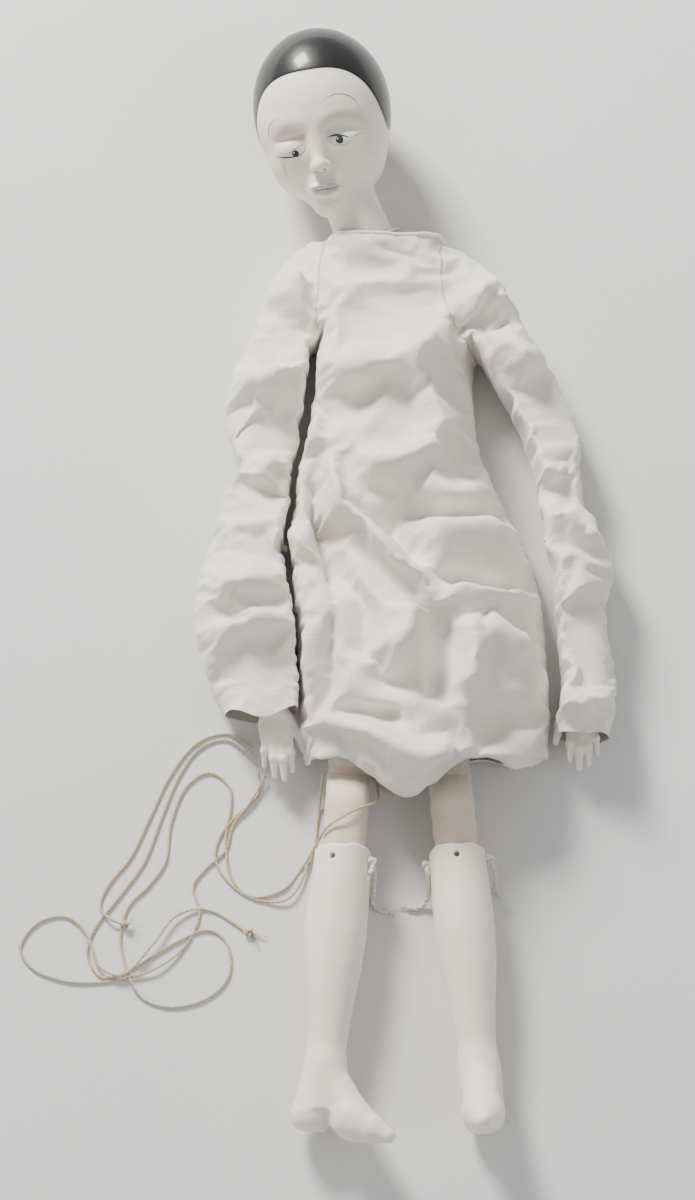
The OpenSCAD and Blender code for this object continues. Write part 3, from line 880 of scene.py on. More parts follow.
def stuffed(limb, s, stations, at, degrees, seed, puckers):
    """A stuffed limb down -Y from (distance, half width, half height), with puckered ends and a sewn seam."""
    stations = np.array(stations, float)
    d = np.linspace(stations[0, 0], stations[-1, 0], LIMB_RINGS)
    smooth = smooth_line(np.column_stack([stations[:, 1:], stations[:, 0]]), 0.4)
    width, height = (np.interp(d, smooth[:, 2], smooth[:, k]) for k in (0, 1))
    angles = angles_round(LIMB_SIDES)
    cx, cz = squarer(np.cos(angles), 0.85), squarer(np.sin(angles), 0.85)
    down = np.broadcast_to(-d[:, None], (LIMB_RINGS, LIMB_SIDES))
    points = np.stack([width[:, None] * cx, down, height[:, None] * cz], -1)
    fold = puckers[0] * np.exp(-(d - d[0]) / PUCKER_REACH) + puckers[1] * np.exp(-(d[-1] - d) / PUCKER_REACH)
    flat = points.reshape(-1, 3)
    wave = np.cos(angles * PUCKERS_ROUND + seed)[None] * fold[:, None]
    lump = noise_at(flat * (1, 0.7, 1), 9, seed).reshape(down.shape) * 0.35
    crease = noise_at(flat * (0.35, 2.2, 0.35), 6, seed + 1).reshape(down.shape) * 0.22
    from_seam = np.abs(angles - math.pi) * 10
    groove, ridge = -0.5 * np.exp(-((from_seam / 1.6) ** 2)), 0.35 * np.exp(-((from_seam - 1.6) ** 2))
    out = (wave + lump + crease + (groove + ridge)[None])[..., None] * np.stack([cx, cx * 0, cz], -1)[None]
    points = (points + out).reshape(-1, 3)
    faces = ring_faces(LIMB_RINGS, LIMB_SIDES, flipped=True)
    k = np.arange(LIMB_SIDES)
    nxt = (k + 1) % LIMB_SIDES
    first, last = len(points), len(points) + 1
    points = np.vstack([points, points[:LIMB_SIDES].mean(0), points[-LIMB_SIDES:].mean(0)])
    faces += [[first, a, b] for a, b in zip(k, nxt)]
    base = (LIMB_RINGS - 1) * LIMB_SIDES
    faces += [[last, base + b, base + a] for a, b in zip(k, nxt)]
    around = np.tile(angles * width.max(), (LIMB_RINGS, 1))
    cut = np.stack([around, -down, around * 0], -1).reshape(-1, 3)
    cut = np.vstack([cut, [[0, d[0], 0], [0, d[-1], 0]]]) * MM
    made = piece(f"stuffed_{limb}_{s}", on_limb(points, at, degrees), faces, CALICO, cut=cut)
    subdivided(made)
    made.data.shade_smooth()
    carried(made, f"{limb}_{s}", "calico", f"{limb}_cover_{s}", f"{limb}_filling_{s}")


LIMBS = (
    ("upper_arm", SHOULDER_AT, UPPER_ARM_TURN, 11, (0.5, 0.5),
     ((1.5, 2.6, 2.6), (8, 4.4, 4.2), (34, 8.3, 8.3), (90, 7.7, 7.4), (104, 7.4, 3.2), (109, 7.4, 0.9))),
    ("forearm", ELBOW_AT, FOREARM_TURN, 13, (0.3, 0.1),
     ((2, 7.4, 0.9), (7, 6.9, 3.4), (15, 6.2, 6.0), (26, 5.6, 5.5), (37, 5.2, 5.2))),
    ("thigh", HIP_AT, THIGH_TURN, 15, (0.5, 0.5),
     ((0.5, 3, 3), (8, 5.0, 4.6), (30, 10.6, 10.4), (80, 9.9, 9.5), (92, 9.6, 4.6), (98.3, 9.5, 0.9))),
    ("calf", KNEE_AT, CALF_TURN, 17, (0.35, 0.1),
     ((1.7, 9.5, 0.9), (7, 9.5, 4.4), (15, 9.5, 9.0), (30, 9.4, 9.2), (38, 8.8, 8.7), (52, 8.2, 8.2))),
)
for side, s in SIDES:
    for limb, at, turned, seed, puckers, stations in LIMBS:
        stuffed(limb, s, stations, at[side], turned[side], seed + side, puckers)

GATHER_RINGS, GATHER_SIDES, GATHERS_ROUND = 15, 36, 9


def gusset(joint, s, start, end, radius):
    """Gathered cloth between two rows of stitching."""
    length = np.linalg.norm(end - start)
    line = start + (end - start) / length * np.linspace(0, length, GATHER_RINGS)[:, None]
    angles = angles_round(GATHER_SIDES)
    pleat = 1 + 0.10 * np.cos(angles * GATHERS_ROUND)
    waist = radius * (0.93 + 0.07 * np.cos(np.linspace(-math.pi, math.pi, GATHER_RINGS)))
    points, faces = tube(line, waist[:, None] * pleat * 0.91, GATHER_SIDES)
    along = np.repeat(np.linspace(0, length, GATHER_RINGS), GATHER_SIDES)
    cut = np.stack([np.tile(angles * radius, GATHER_RINGS), along, along * 0], 1) * MM
    made = piece(f"{joint}_gathers_{s}", points, faces, CALICO, cut=cut)
    carried(made, f"{joint}_{s}", "calico", f"{joint}_gusset_{s}")


for side, s in SIDES:
    out = np.array((OUTWARD[side], 0, 0))
    gusset("shoulder", s, SHOULDER_AT[side] - out * 9.5, SHOULDER_AT[side], 3.6)
    gusset("hip", s, HIP_AT[side] - out * 7, HIP_AT[side] + out * 7, 3.4)


def torso_field(p):
    chest = rod(p, (-16, 135, 17), (3, 135, 17), 12.6, 12.6)
    seat = rod(p, (-17, 29, 17), (13, 29, 17), 13.6, 13.6)
    trunk = np.minimum(chest, seat)
    for x0, x1 in ((-16, -17), (-6, -2), (3, 13)):
        trunk = merge(trunk, rod(p, (x0, 135, 17), (x1, 29, 17), 12.4, 13.4), 1.5)
    trunk = trunk + noise_at(p, 13, 4) * 0.4
    seam = np.maximum(np.abs(p[:, 0] + 6 - 0.03 * (p[:, 1] - 80)) - 0.3, -(trunk + 0.5))
    trunk = carve(trunk, seam, 0.8)
    return carve(trunk, ball(p, NECK_AT, 16.6), 0.8)


BODY_STEP = 1.6
points, faces = skin(torso_field, (-34, 12, 0), (30, 152, 34), BODY_STEP)
torso = piece("stuffed_body", points, faces, CALICO, cut=points * MM)
carried(torso, "torso", "calico", "torso_cover", "torso_filling")

# ---------- gown ----------

# Outline of the gown as it lies, front and back alike, from the right end of the neckline round to the left end
NECK_R, NECK_L = (-31, 158.5), (20.5, 159)
SLEEVE_R_OUTER = ((-38, 156.5), (-47, 151), (-58, 139), (-66, 124), (-74, 106), (-80.5, 84), (-79.5, 70), (-73, 53),
                  (-79, 36), (-87, 15), (-92, -3), (-93, -20), (-88, -42), (-80, -61))
CUFF_R = ((-79, -64), (-62, -67), (-47, -63))
SLEEVE_R_INNER = ((-49, -40), (-52, -10), (-52.5, 20), (-49.5, 45), (-46, 70), (-43.5, 92), (-41, 106))
UNDERARM_R = ((-39.2, 109.5),)
SIDE_R = ((-37.6, 106), (-37, 90), (-39.5, 66), (-44.5, 45), (-48, 20), (-48, -20), (-45.5, -55), (-44, -84))
HEM = ((-43.5, -92), (-36, -96), (-28, -96), (-20, -102), (-9, -110), (2, -114), (14, -109), (26, -100), (36, -98),
       (48, -101), (58, -98), (64, -91))
SIDE_L = ((65, -60), (63.5, -20), (59, 5), (51, 25), (42, 45), (36, 62), (33.5, 82), (34, 98))
UNDERARM_L = ((35.5, 104),)
SLEEVE_L_INNER = ((38, 100), (46, 84), (54, 66), (61, 40), (65.5, 10), (68, -20), (69, -50), (68.5, -72))
CUFF_L = ((68.5, -74), (80, -78), (91.5, -74))
SLEEVE_L_OUTER = ((94, -50), (90, -20), (92.5, 6), (83, 34), (81, 50), (79.5, 64), (75, 84), (63, 110),
                  (52, 124), (44, 134), (36, 145), (28, 152))
NECKLINE = ((11, 158.5), (-3, 156.5), (-18, 156.5))

# Folds of the front as it lies: a line in millimetres, its height (below zero for a valley) and its half width
FOLDS = (
    (((-39, 112), (-30, 92), (-13, 85), (2, 91), (11, 105)), 5, 9),
    (((20, 109), (11, 93), (10, 80), (18, 63), (25, 50)), 6, 7),
    (((2, 85), (-3, 71), (2, 54)), -9, 9),
    (((-15, 42), (-3, 40), (10, 46), (20, 53)), 6, 7),
    (((-13, 33), (-4, 19), (6, 28)), -5, 6),
    (((10, 38), (26, 30), (44, 38)), 4, 9),
    (((6, 26), (21, 20), (36, 23), (49, 32)), -5, 5),
    (((-33, 74), (-30, 49), (-22, 31), (-9, 14), (4, -4), (13, -16)), 8, 6),
    (((-22, 47), (-13, 28), (0, 12), (13, -7)), -6, 6),
    (((11, 10), (29, 12), (49, 17)), 5, 14),
    (((18, -7), (34, -12), (52, -10), (63, 1)), -5, 4.5),
    (((19, -17), (43, -19), (61, -8)), 4.5, 7),
    (((29, -29), (29, -47), (27, -64)), 5, 6),
    (((19, -28), (17, -49), (15, -66)), -4, 8),
    (((4, -25), (1, -40), (-9, -49)), 5, 7),
    (((-23, -14), (-17, -35), (-7, -54), (9, -56)), -4.5, 6),
    (((-22, -73), (-6, -83), (9, -90), (22, -86)), 4.5, 7),
    (((-26, -64), (-14, -71), (2, -71)), -4, 5),
    (((35, -32), (48, -40), (60, -41)), 4, 8),
    (((30, -83), (44, -72), (61, -67)), -4, 6),
    (((-52, 33), (-48, 8), (-45, -20), (-41, -44), (-41, -67)), 6, 7),
    (((-28, 74), (-30, 38), (-27, 0), (-25, -23), (-29, -64)), -9, 5),
    (((-38, 67), (-45, 47), (-51, 31)), 5, 6),
    (((-48, 15), (-36, 7), (-28, 0)), 4, 5),
    (((-67, 111), (-57, 108), (-42, 116)), -4, 5),
    (((-61, 126), (-50, 135), (-44, 139)), 5, 8),
    (((-79, 91), (-60, 85), (-43, 94)), 5, 9),
    (((-72, 67), (-58, 59), (-43, 62)), -5, 6),
    (((-71, 44), (-60, 45), (-47, 53)), 4, 9),
    (((-86, 12), (-69, 5), (-51, -2)), -5, 6),
    (((-89, -9), (-69, -10), (-50, -7)), 5, 9),
    (((-74, -32), (-58, -27), (-45, -36)), 4, 8),
    (((-85, -41), (-69, -53), (-49, -60)), -3.5, 9),
    (((24, 112), (45, 100), (67, 91)), 5, 8),
    (((27, 123), (37, 128), (49, 122), (59, 105), (71, 93)), 6, 7),
    (((25, 111), (42, 116), (54, 111)), -5, 5),
    (((28, 92), (41, 71), (53, 53), (63, 44), (76, 45)), 6, 7),
    (((36, 67), (46, 49), (57, 35)), -5, 5),
    (((63, 26), (78, 21), (92, 11)), 5, 8),
    (((57, 31), (70, 31), (79, 26)), -5, 5),
    (((69, 8), (75, -6), (78, -20)), 4.5, 8),
    (((82, -2), (90, -9)), -4, 6),
    (((63, -42), (73, -60), (85, -69)), 5, 7),
    (((70, -32), (83, -39), (92, -51)), -4.5, 6),
)

FOLD_DEPTH = 2.3
CLOTH_STEP = 2.6
FLOOR_CLEAR = 1.2
WORK_SCALE = 10  # the cloth is simulated ten times larger, where the solver behaves


def outline():
    """Points along the outline, each with the edge that it is on: seam, cuff, hem or neck."""
    edges = (
        ((NECK_R, *SLEEVE_R_OUTER, CUFF_R[0]), "seam"), (CUFF_R, "cuff"),
        ((CUFF_R[-1], *SLEEVE_R_INNER, *UNDERARM_R, *SIDE_R, HEM[0]), "seam"), (HEM, "hem"),
        ((HEM[-1], *SIDE_L, *UNDERARM_L, *SLEEVE_L_INNER, CUFF_L[0]), "seam"), (CUFF_L, "cuff"),
        ((CUFF_L[-1], *SLEEVE_L_OUTER, NECK_L), "seam"), ((NECK_L, *NECKLINE, NECK_R), "neck"),
    )
    points, kinds = [], []
    for route, kind in edges:
        line = smooth_line([(x, y, 0) for x, y in route], CLOTH_STEP)[:, :2]
        points.append(line[:-1])
        kinds += [kind] * (len(line) - 1)
        if kind != "seam":
            kinds[-len(line) + 1] = "seam"
    return np.concatenate(points), np.array(kinds)


def far_from(points, others):
    """Distance of each point from the nearest of the others."""
    return np.min(np.linalg.norm(points[:, None] - others[None], axis=2), axis=1)


def fill(edge):
    """Triangles over the outline, near to equal in size."""
    lo, hi = edge.min(0), edge.max(0)
    rows = np.arange(lo[1], hi[1], CLOTH_STEP * 0.866)
    draw = np.random.default_rng(7)
    dots = []
    # every other row is set over by half a step
    for i, y in enumerate(rows):
        xs = np.arange(lo[0] + (i % 2) * CLOTH_STEP / 2, hi[0], CLOTH_STEP)
        dots.append(np.stack([xs, np.full(len(xs), y)], 1))
    dots = np.concatenate(dots)
    dots += draw.uniform(-0.25, 0.25, dots.shape) * CLOTH_STEP
    # keep those inside, away from the edge
    a, b = edge, np.roll(edge, -1, 0)
    crosses = (a[None, :, 1] > dots[:, None, 1]) != (b[None, :, 1] > dots[:, None, 1])
    climb = np.where(b[:, 1] == a[:, 1], 1e-9, b[:, 1] - a[:, 1])[None]
    at = a[None, :, 0] + (dots[:, None, 1] - a[None, :, 1]) / climb * (b - a)[None, :, 0]
    within = (crosses & (at > dots[:, None, 0])).sum(1) % 2 == 1
    dots = dots[within & (far_from(dots, edge) > CLOTH_STEP * 0.62)]
    every = np.concatenate([edge, dots])
    loop = [(i, (i + 1) % len(edge)) for i in range(len(edge))]
    found = delaunay_2d_cdt([Vector(p) for p in every], loop, [list(range(len(edge)))], 1, 1e-6)
    return np.array(found[0]), list(found[2])


def solid_of(names):
    """The surfaces of the CAD nodes as one, in millimetres."""
    points, faces = [], []
    for name in names:
        mesh = frame["nodes"][name].data
        base = len(points)
        points += [tuple(v.co / MM) for v in mesh.vertices]
        faces += [[base + v for v in p.vertices] for p in mesh.polygons]
    return points, faces


IN_PAIRS = (
    "upper_arm_cover", "forearm_cover", "hand", "thigh_cover", "calf_cover", "boot", "shoulder_gusset", "hip_gusset",
)
UNDER_THE_GOWN = ["torso_cover", "neck_cloth", "head"] + [f"{part}_{s}" for _, s in SIDES for part in IN_PAIRS]
body_tree = BVHTree.FromPolygons(*solid_of(UNDER_THE_GOWN))


def top_of(tree, x, y):
    """Height of the uppermost place on a tree above x, y, or None."""
    hit = tree.ray_cast(Vector((x, y, 200)), Vector((0, 0, -1)))[0]
    return hit.z if hit else None


def body_height(x, y):
    return top_of(body_tree, x, y) or 0.0


edge, kinds = outline()
plan, plan_faces = fill(edge)
count = len(plan)
on_edge = len(edge)
# The seams lie a little above the floor and rise to the ends of the neckline
seam_rise = np.exp(-(far_from(plan, np.array([NECK_R, NECK_L])) / 13) ** 2)
seam_z = FLOOR_CLEAR + 5.5 + 11 * seam_rise
back_z = FLOOR_CLEAR + (seam_z - FLOOR_CLEAR) * np.exp(-far_from(plan, edge) / 5)

# The front lies over what is under it, a little above, and is smoothed
height = np.array([body_height(x, y) for x, y in plan])
neighbours = [[] for _ in range(count)]
for f in plan_faces:
    for i in range(3):
        neighbours[f[i]] += [f[(i + 1) % 3], f[(i + 2) % 3]]
reach = height.copy()
for _ in range(2):
    reach = np.array([max([reach[i], *reach[neighbours[i]]]) for i in range(count)])
seam_far = far_from(plan, edge[kinds == "seam"])
front_z = np.maximum(reach + 4, seam_z + 22 * (1 - np.exp(-seam_far / 7)) + 8 * (1 - np.exp(-seam_far / 25)))
for _ in range(10):
    front_z = np.array([0.5 * front_z[i] + 0.5 * np.mean(front_z[neighbours[i]]) for i in range(count)])


def far_from_line(points, route):
    """Distance of points in plan from a smooth line, and how far along it they are, from 0 to 1."""
    route = smooth_line([(x, y, 0) for x, y in route], 2.0)[:, :2]
    far = np.linalg.norm(points[:, None] - route[None], axis=2)
    return far.min(1), far.argmin(1) / (len(route) - 1)


folded = np.zeros(count)
for route, rise, width in FOLDS:
    far, along = far_from_line(plan, route)
    ends = np.clip(np.minimum(along, 1 - along) * 5 + 0.15, 0, 1)
    folded += FOLD_DEPTH * rise * np.exp(-((far / width) ** 2)) * ends
front_z += folded * (1 - np.exp(-seam_far / 4))
front_z += noise_at(np.column_stack([plan, plan[:, 0] * 0]), 7, 21) * 0.7 * (1 - np.exp(-seam_far / 5))
front_z = np.maximum(front_z, height + 2.6)
pinned = np.zeros(count, bool)
pinned[:on_edge] = kinds == "seam"
neck_edge = np.zeros(count, bool)
neck_edge[:on_edge] = kinds == "neck"
front_z[pinned] = seam_z[pinned]

front = np.column_stack([plan, front_z])
# The hem is turned under and held in
HEM_TURN = 15
hem_far = far_from(plan, edge[kinds == "hem"])
hem_hold = np.zeros(count, bool)
hem_hold[:on_edge] = kinds == "hem"
hem_roll = HEM_TURN / (0.75 * math.pi)
angle = np.clip(HEM_TURN - hem_far, 0, None) / hem_roll
over = hem_far < HEM_TURN
front[over, 1] += (HEM_TURN - hem_far[over]) - hem_roll * np.sin(angle[over])
roll_room = np.minimum(1, (front_z - FLOOR_CLEAR - 1) / (2 * hem_roll))
front[over, 2] -= (hem_roll * (1 - np.cos(angle)) * roll_room)[over]

back = np.column_stack([plan, back_z])
back[over, 1] += (HEM_TURN - hem_far[over]) * 0.95
shared = np.zeros(count, bool)
shared[:on_edge] = kinds == "seam"
back_index = np.where(shared, np.arange(count), -1)
own = np.flatnonzero(~shared)
back_index[own] = count + np.arange(len(own))
points = np.concatenate([front, back[own]])
plan_of = np.concatenate([plan, plan[own]])
faces = [list(f) for f in plan_faces] + [[int(back_index[i]) for i in f[::-1]] for f in plan_faces]
# The front's faces look up
first = plan_faces[0]
if np.cross(plan[first[1]] - plan[first[0]], plan[first[2]] - plan[first[0]]) < 0:
    faces = [f[::-1] for f in faces]

GROW = 0.10
FRAMES = 24


GRAVITY = 0.12
LINEN_DRAPE = {
    "quality": 7, "mass": 0.12, "tension_stiffness": 22, "compression_stiffness": 22, "shear_stiffness": 10,
    "bending_stiffness": 3.0, "tension_damping": 8, "compression_damping": 8, "shear_damping": 8,
    "bending_damping": 2, "air_damping": 2.5, "vertex_group_mass": "pins", "shrink_min": -GROW,
}
LINEN_CONTACT = {
    "distance_min": 0.012, "use_self_collision": True, "self_distance_min": 0.006, "collision_quality": 2,
}


def collider(points, faces):
    """What the cloth settles onto."""
    made = mesh_object("under_collider", points * WORK_SCALE * MM, faces=faces)
    made.modifiers.new("Collision", "COLLISION")
    made.collision.thickness_outer = 0.02
    made.collision.cloth_friction = 8
    return made


def draped():
    """Where the gown's points are once the cloth has settled, in millimetres."""
    work = mesh_object("gown_work", points * WORK_SCALE * MM, faces=faces)
    pins = work.vertex_groups.new(name="pins")
    held = np.concatenate([pinned | neck_edge | hem_hold, np.ones(len(own), bool)])
    pins.add(np.flatnonzero(held).tolist(), 1.0, "REPLACE")
    cloth = work.modifiers.new("Cloth", "CLOTH")
    set_all(cloth.settings, LINEN_DRAPE)
    cloth.settings.effector_weights.gravity = GRAVITY
    set_all(cloth.collision_settings, LINEN_CONTACT)
    cloth.point_cache.frame_start, cloth.point_cache.frame_end = 1, FRAMES
    for f in range(1, FRAMES + 1):
        bpy.context.scene.frame_set(f)
    graph = bpy.context.evaluated_depsgraph_get()
    made = work.evaluated_get(graph).to_mesh()
    result = np.zeros(len(made.vertices) * 3)
    made.vertices.foreach_get("co", result)
    work.evaluated_get(graph).to_mesh_clear()
    bpy.data.objects.remove(work)
    return result.reshape(-1, 3) / (WORK_SCALE * MM)


up_faces = faces[: len(plan_faces)]
under = collider(np.column_stack([plan, np.maximum(reach, 0.2)]), up_faces)
lying = draped()
bpy.data.objects.remove(under)
bpy.context.scene.frame_set(1)

# Nothing under the gown comes through it: lift the front where it is too low, and the cloth round it with it
CLEAR = 1.6
lift = np.array([
    max(0.0, body_height(x, y) + CLEAR - z) if z > FLOOR_CLEAR + 0.5 else 0.0 for x, y, z in lying[:count]
])
lift[pinned] = 0
for _ in range(3):
    spread = np.array([max(lift[i], 0.82 * max(lift[neighbours[i]])) for i in range(count)])
    lift = np.where(pinned, 0, spread)
for _ in range(2):
    lift = np.array([max(lift[i], np.mean(lift[neighbours[i]])) for i in range(count)])
lying = lying.copy()
lying[:count, 2] += np.where(pinned, 0, lift)

# ---------- the gown's pieces: the body of the gown on the torso, and the sleeve parts ---

# Where the sleeves are sewn on and, below the underarm, the gap between sleeve and side, from the hem up
ARMHOLES = (
    ((-45, -100), (-46.5, -60), (-48.5, -40), (-50, -10), (-50.2, 20), (-47, 45), (-42.8, 68), (-40.2, 91),
     (-39.2, 107.5), (-39.2, 109.5), (-38.2, 118), (-36.5, 135), (-34, 150), (-31, 158.5)),
    ((66.5, -100), (67, -60), (65.8, -20), (62.5, 5), (57, 25), (52, 40), (45, 64), (39.7, 83), (36.5, 99),
     (35.5, 104), (28, 107), (21, 116), (17.5, 128), (17, 142), (20.5, 160)),
)
UNDERARMS = ((-39.2, 109.5), (35.5, 104))
# Which way the gown's cloth is drawn with the arm, and how far from the underarm it gives way to each body
DRAWN = ((-0.75, -0.66), (0.75, -0.66))
ON_SHOULDER, ON_ARM, PLAIN_SLEEVE = 12, 28, 30
ELBOW_GIVE = 22

# What each part was cut from, laid flat, in metres
SLEEVE_HEAD_FLAT = ((0.06, 0.064), (0.07, 0.072))
SLEEVE_UPPER_FLAT = ((0.045, 0.057), (0.042, 0.053))
SLEEVE_LOWER_FLAT = ((0.12, 0.15), (0.1, 0.15))

BACK_CUT = 300  # the back's weave is laid out this far from the front's
cut = np.column_stack([plan_of * (1 + GROW), np.concatenate([np.zeros(count), np.ones(len(own)) * BACK_CUT])]) * MM
armhole_far = []
for side, _ in SIDES:
    route = np.array([p for p in ARMHOLES[side] if p[1] >= UNDERARMS[side][1] - 0.1], float)
    line = smooth_line(np.column_stack([route, np.zeros(len(route))]), 0.5)[:, :2]
    apart = plan_of[:, None] - line[None]
    nearest = np.linalg.norm(apart, axis=2).argmin(1)
    far = np.linalg.norm(apart, axis=2).min(1)
    out = np.sign(plan_of[:, 0] - line[nearest, 0]) * OUTWARD[side]
    armhole_far.append(far * np.where(out == 0, 1, out))
nearer = np.where(np.abs(armhole_far[0]) < np.abs(armhole_far[1]), armhole_far[0], armhole_far[1])
flat_zero = np.zeros(len(nearer))
whole = piece(
    "gown_whole", lying, faces, LINEN, cut=cut, seam=np.column_stack([nearer, flat_zero + 1, flat_zero]),
    plan=np.column_stack([plan_of, flat_zero]),
)
subdivided(whole)


def values_of(mesh, name):
    out = np.zeros(len(mesh.vertices) * 3, np.float32)
    if name in ("co", "normal"):
        mesh.vertices.foreach_get(name, out)
    else:
        mesh.attributes[name].data.foreach_get("vector", out)
    return out.reshape(-1, 3).astype(float)


cloth_at = values_of(whole.data, "co") / MM
cloth_way = values_of(whole.data, "normal")
cloth_cut, cloth_seam, cloth_plan = (values_of(whole.data, n) for n in ("cut", "seam", "plan"))
cloth_faces = [list(p.vertices) for p in whole.data.polygons]
face_plan = np.array([cloth_plan[f].mean(0)[:2] for f in cloth_faces])
bpy.data.objects.remove(whole)


def sleeve_side(at):
    """Which side's sleeve a place on the cut belongs to, or -1 for the body of the gown."""
    right, left = (np.interp(at[1], *np.array(line, float).T[::-1]) for line in ARMHOLES)
    return RIGHT if at[0] < right else LEFT if at[0] > left else -1


def part_at(at):
    side = sleeve_side(at)
    if side < 0:
        return "gown_body"
    drawn = (at - UNDERARMS[side]) @ DRAWN[side]
    part = "head" if drawn < ON_SHOULDER else "upper_part" if drawn < PLAIN_SLEEVE else "lower_part"
    return f"sleeve_{part}_{SIDES[side][1]}"


part_of = np.array([part_at(at) for at in face_plan])


def cloth_part(name):
    """One part of the gown as its own piece, shaded as if still in one with the rest."""
    chosen = [cloth_faces[i] for i in np.flatnonzero(part_of == name)]
    used = np.unique(np.concatenate(chosen))
    place = np.full(len(cloth_at), -1)
    place[used] = np.arange(len(used))
    made = piece(name, cloth_at[used], [place[f] for f in chosen], LINEN, cut=cloth_cut[used], seam=cloth_seam[used])
    made.data.normals_split_custom_set_from_vertices(cloth_way[used].tolist())
    return made


gown = cloth_part("gown_body")
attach(gown, "torso")
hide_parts("gown_front", "gown_back")

for side, s in SIDES:
    way = np.array((*DRAWN[side], 0))
    underarm = np.array((*UNDERARMS[side], 15))
    down = (ELBOW_AT[side] - SHOULDER_AT[side]) / np.linalg.norm(ELBOW_AT[side] - SHOULDER_AT[side])
    # Each part's bodies, where it goes from one to the other, the CAD node it stands for, and what is in it
    parts = (
        ("head", "torso", f"shoulder_{s}", underarm, underarm + way * ON_SHOULDER,
         "upper", SLEEVE_HEAD_FLAT, "upper_arm"),
        ("upper_part", f"shoulder_{s}", f"upper_arm_{s}", underarm + way * ON_SHOULDER, underarm + way * ON_ARM,
         "upper", SLEEVE_UPPER_FLAT, "upper_arm"),
        ("lower_part", f"upper_arm_{s}", f"forearm_{s}", ELBOW_AT[side] - down * ELBOW_GIVE,
         ELBOW_AT[side] + down * ELBOW_GIVE, "lower", SLEEVE_LOWER_FLAT, "forearm"),
    )
    for part, above, below, start, end, node, flat, limb in parts:
        made = cloth_part(f"sleeve_{part}_{s}")
        start * MM
        end * MM
        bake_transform(made)
        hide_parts(f"sleeve_{node}_{s}")

# Narrow turned edge round the neck opening, front and back
neck_front = np.flatnonzero(kinds == "neck")
first_corner, last_corner = neck_front[0] - 1, 0
neck_loop = [first_corner, *neck_front, last_corner, *(back_index[neck_front][::-1]), first_corner]
EDGE_STEP, EDGE_SIDES, EDGE_WEAVE = 1.2, 10, 0.63
neck_line = smooth_line(lying[neck_loop], EDGE_STEP)
neck_line = np.vstack([neck_line, neck_line[1:3]])
neck_points, neck_faces = tube(neck_line, 1 + 0.12 * noise_at(neck_line, 3, 9), EDGE_SIDES)
along = np.repeat(np.arange(len(neck_line)) * EDGE_STEP, EDGE_SIDES)
around = np.tile(np.arange(EDGE_SIDES) * EDGE_WEAVE, len(neck_line))
neck_cut = np.column_stack([along, around, along * 0]) * MM
neck_hem = piece("neck_turned_edge", neck_points, neck_faces, LINEN, cut=neck_cut)
carried(neck_hem, "torso", "linen", "neckband")

# ---------- stitches ----------


STITCH_NODES = {
    "in": "NodeGroupInput", "curve": "GeometryNodeMeshToCurve", "points": "GeometryNodeCurveToPoints",
    "stitch": "GeometryNodeMeshUVSphere", "size": "ShaderNodeCombineXYZ", "uneven": "FunctionNodeRandomValue",
    "place": "GeometryNodeInstanceOnPoints", "scaled": "ShaderNodeMath", "real": "GeometryNodeRealizeInstances",
    "paint": "GeometryNodeSetMaterial", "out": "NodeGroupOutput",
}
STITCH_LINKS = (
    ("in", "Line", "curve", "Mesh"), ("curve", "Curve", "points", "Curve"), ("in", "Spacing", "points", "Length"),
    ("points", "Points", "place", "Points"), ("points", "Rotation", "place", "Rotation"),
    ("stitch", "Mesh", "place", "Instance"), ("in", "Seed", "uneven", "Seed"),
    ("in", "Stitch Length", "scaled", 1), ("in", "Thread", "size", "X"), ("in", "Thread", "size", "Y"),
    ("scaled", 0, "size", "Z"), ("size", 0, "place", "Scale"), ("place", "Instances", "real", "Geometry"),
    ("real", "Geometry", "paint", "Geometry"), ("in", "Stitch Material", "paint", "Material"),
    ("paint", "Geometry", "out", "Stitches"),
)
STITCH_SHORTEST, STITCH_LONGEST = 0.8, 1.1


def stitch_tree():
    """Small rounded stitches laid end to end along a line of edges."""
    tree = bpy.data.node_groups.new("stitch_row", "GeometryNodeTree")
    for name, kind in (
        ("Line", "Geometry"), ("Spacing", "Float"), ("Stitch Length", "Float"), ("Thread", "Float"),
        ("Seed", "Int"), ("Stitch Material", "Material"),
    ):
        tree.interface.new_socket(name, in_out="INPUT", socket_type="NodeSocket" + kind)
    tree.interface.new_socket("Stitches", in_out="OUTPUT", socket_type="NodeSocketGeometry")
    made = {key: tree.nodes.new(kind) for key, kind in STITCH_NODES.items()}
    made["points"].mode = "LENGTH"
    made["scaled"].operation = "MULTIPLY"
    made["uneven"].data_type = "FLOAT"
    for socket, value in (("Segments", 6), ("Rings", 4), ("Radius", 0.5)):
        made["stitch"].inputs[socket].default_value = value
    shortest, longest = [socket for socket in made["uneven"].inputs if socket.type == "VALUE"][:2]
    shortest.default_value, longest.default_value = STITCH_SHORTEST, STITCH_LONGEST
    uneven = next(socket for socket in made["uneven"].outputs if socket.type == "VALUE")
    tree.links.new(uneven, made["scaled"].inputs[0])
    for start, given, end, taken in STITCH_LINKS:
        tree.links.new(made[start].outputs[given], made[end].inputs[taken])
    return tree


STITCH_ROW = stitch_tree()


def stitches(name, lines, spacing, length, thread, seed):
    """Rows of stitches along lines in millimetres, as one plain mesh."""
    edges, start = [], 0
    for line in lines:
        edges += [(start + i, start + i + 1) for i in range(len(line) - 1)]
        start += len(line)
    made = mesh_object(name, np.concatenate(lines) * MM, edges)
    row = made.modifiers.new("row", "NODES")
    row.node_group = STITCH_ROW
    given = {
        "Spacing": spacing * MM, "Stitch Length": length * MM, "Thread": thread * MM, "Seed": seed,
        "Stitch Material": COTTON,
    }
    for item in STITCH_ROW.interface.items_tree:
        if item.in_out == "INPUT" and item.name in given:
            row[item.identifier] = given[item.name]
    keep_result(made)
    made.data.shade_smooth()
    return made


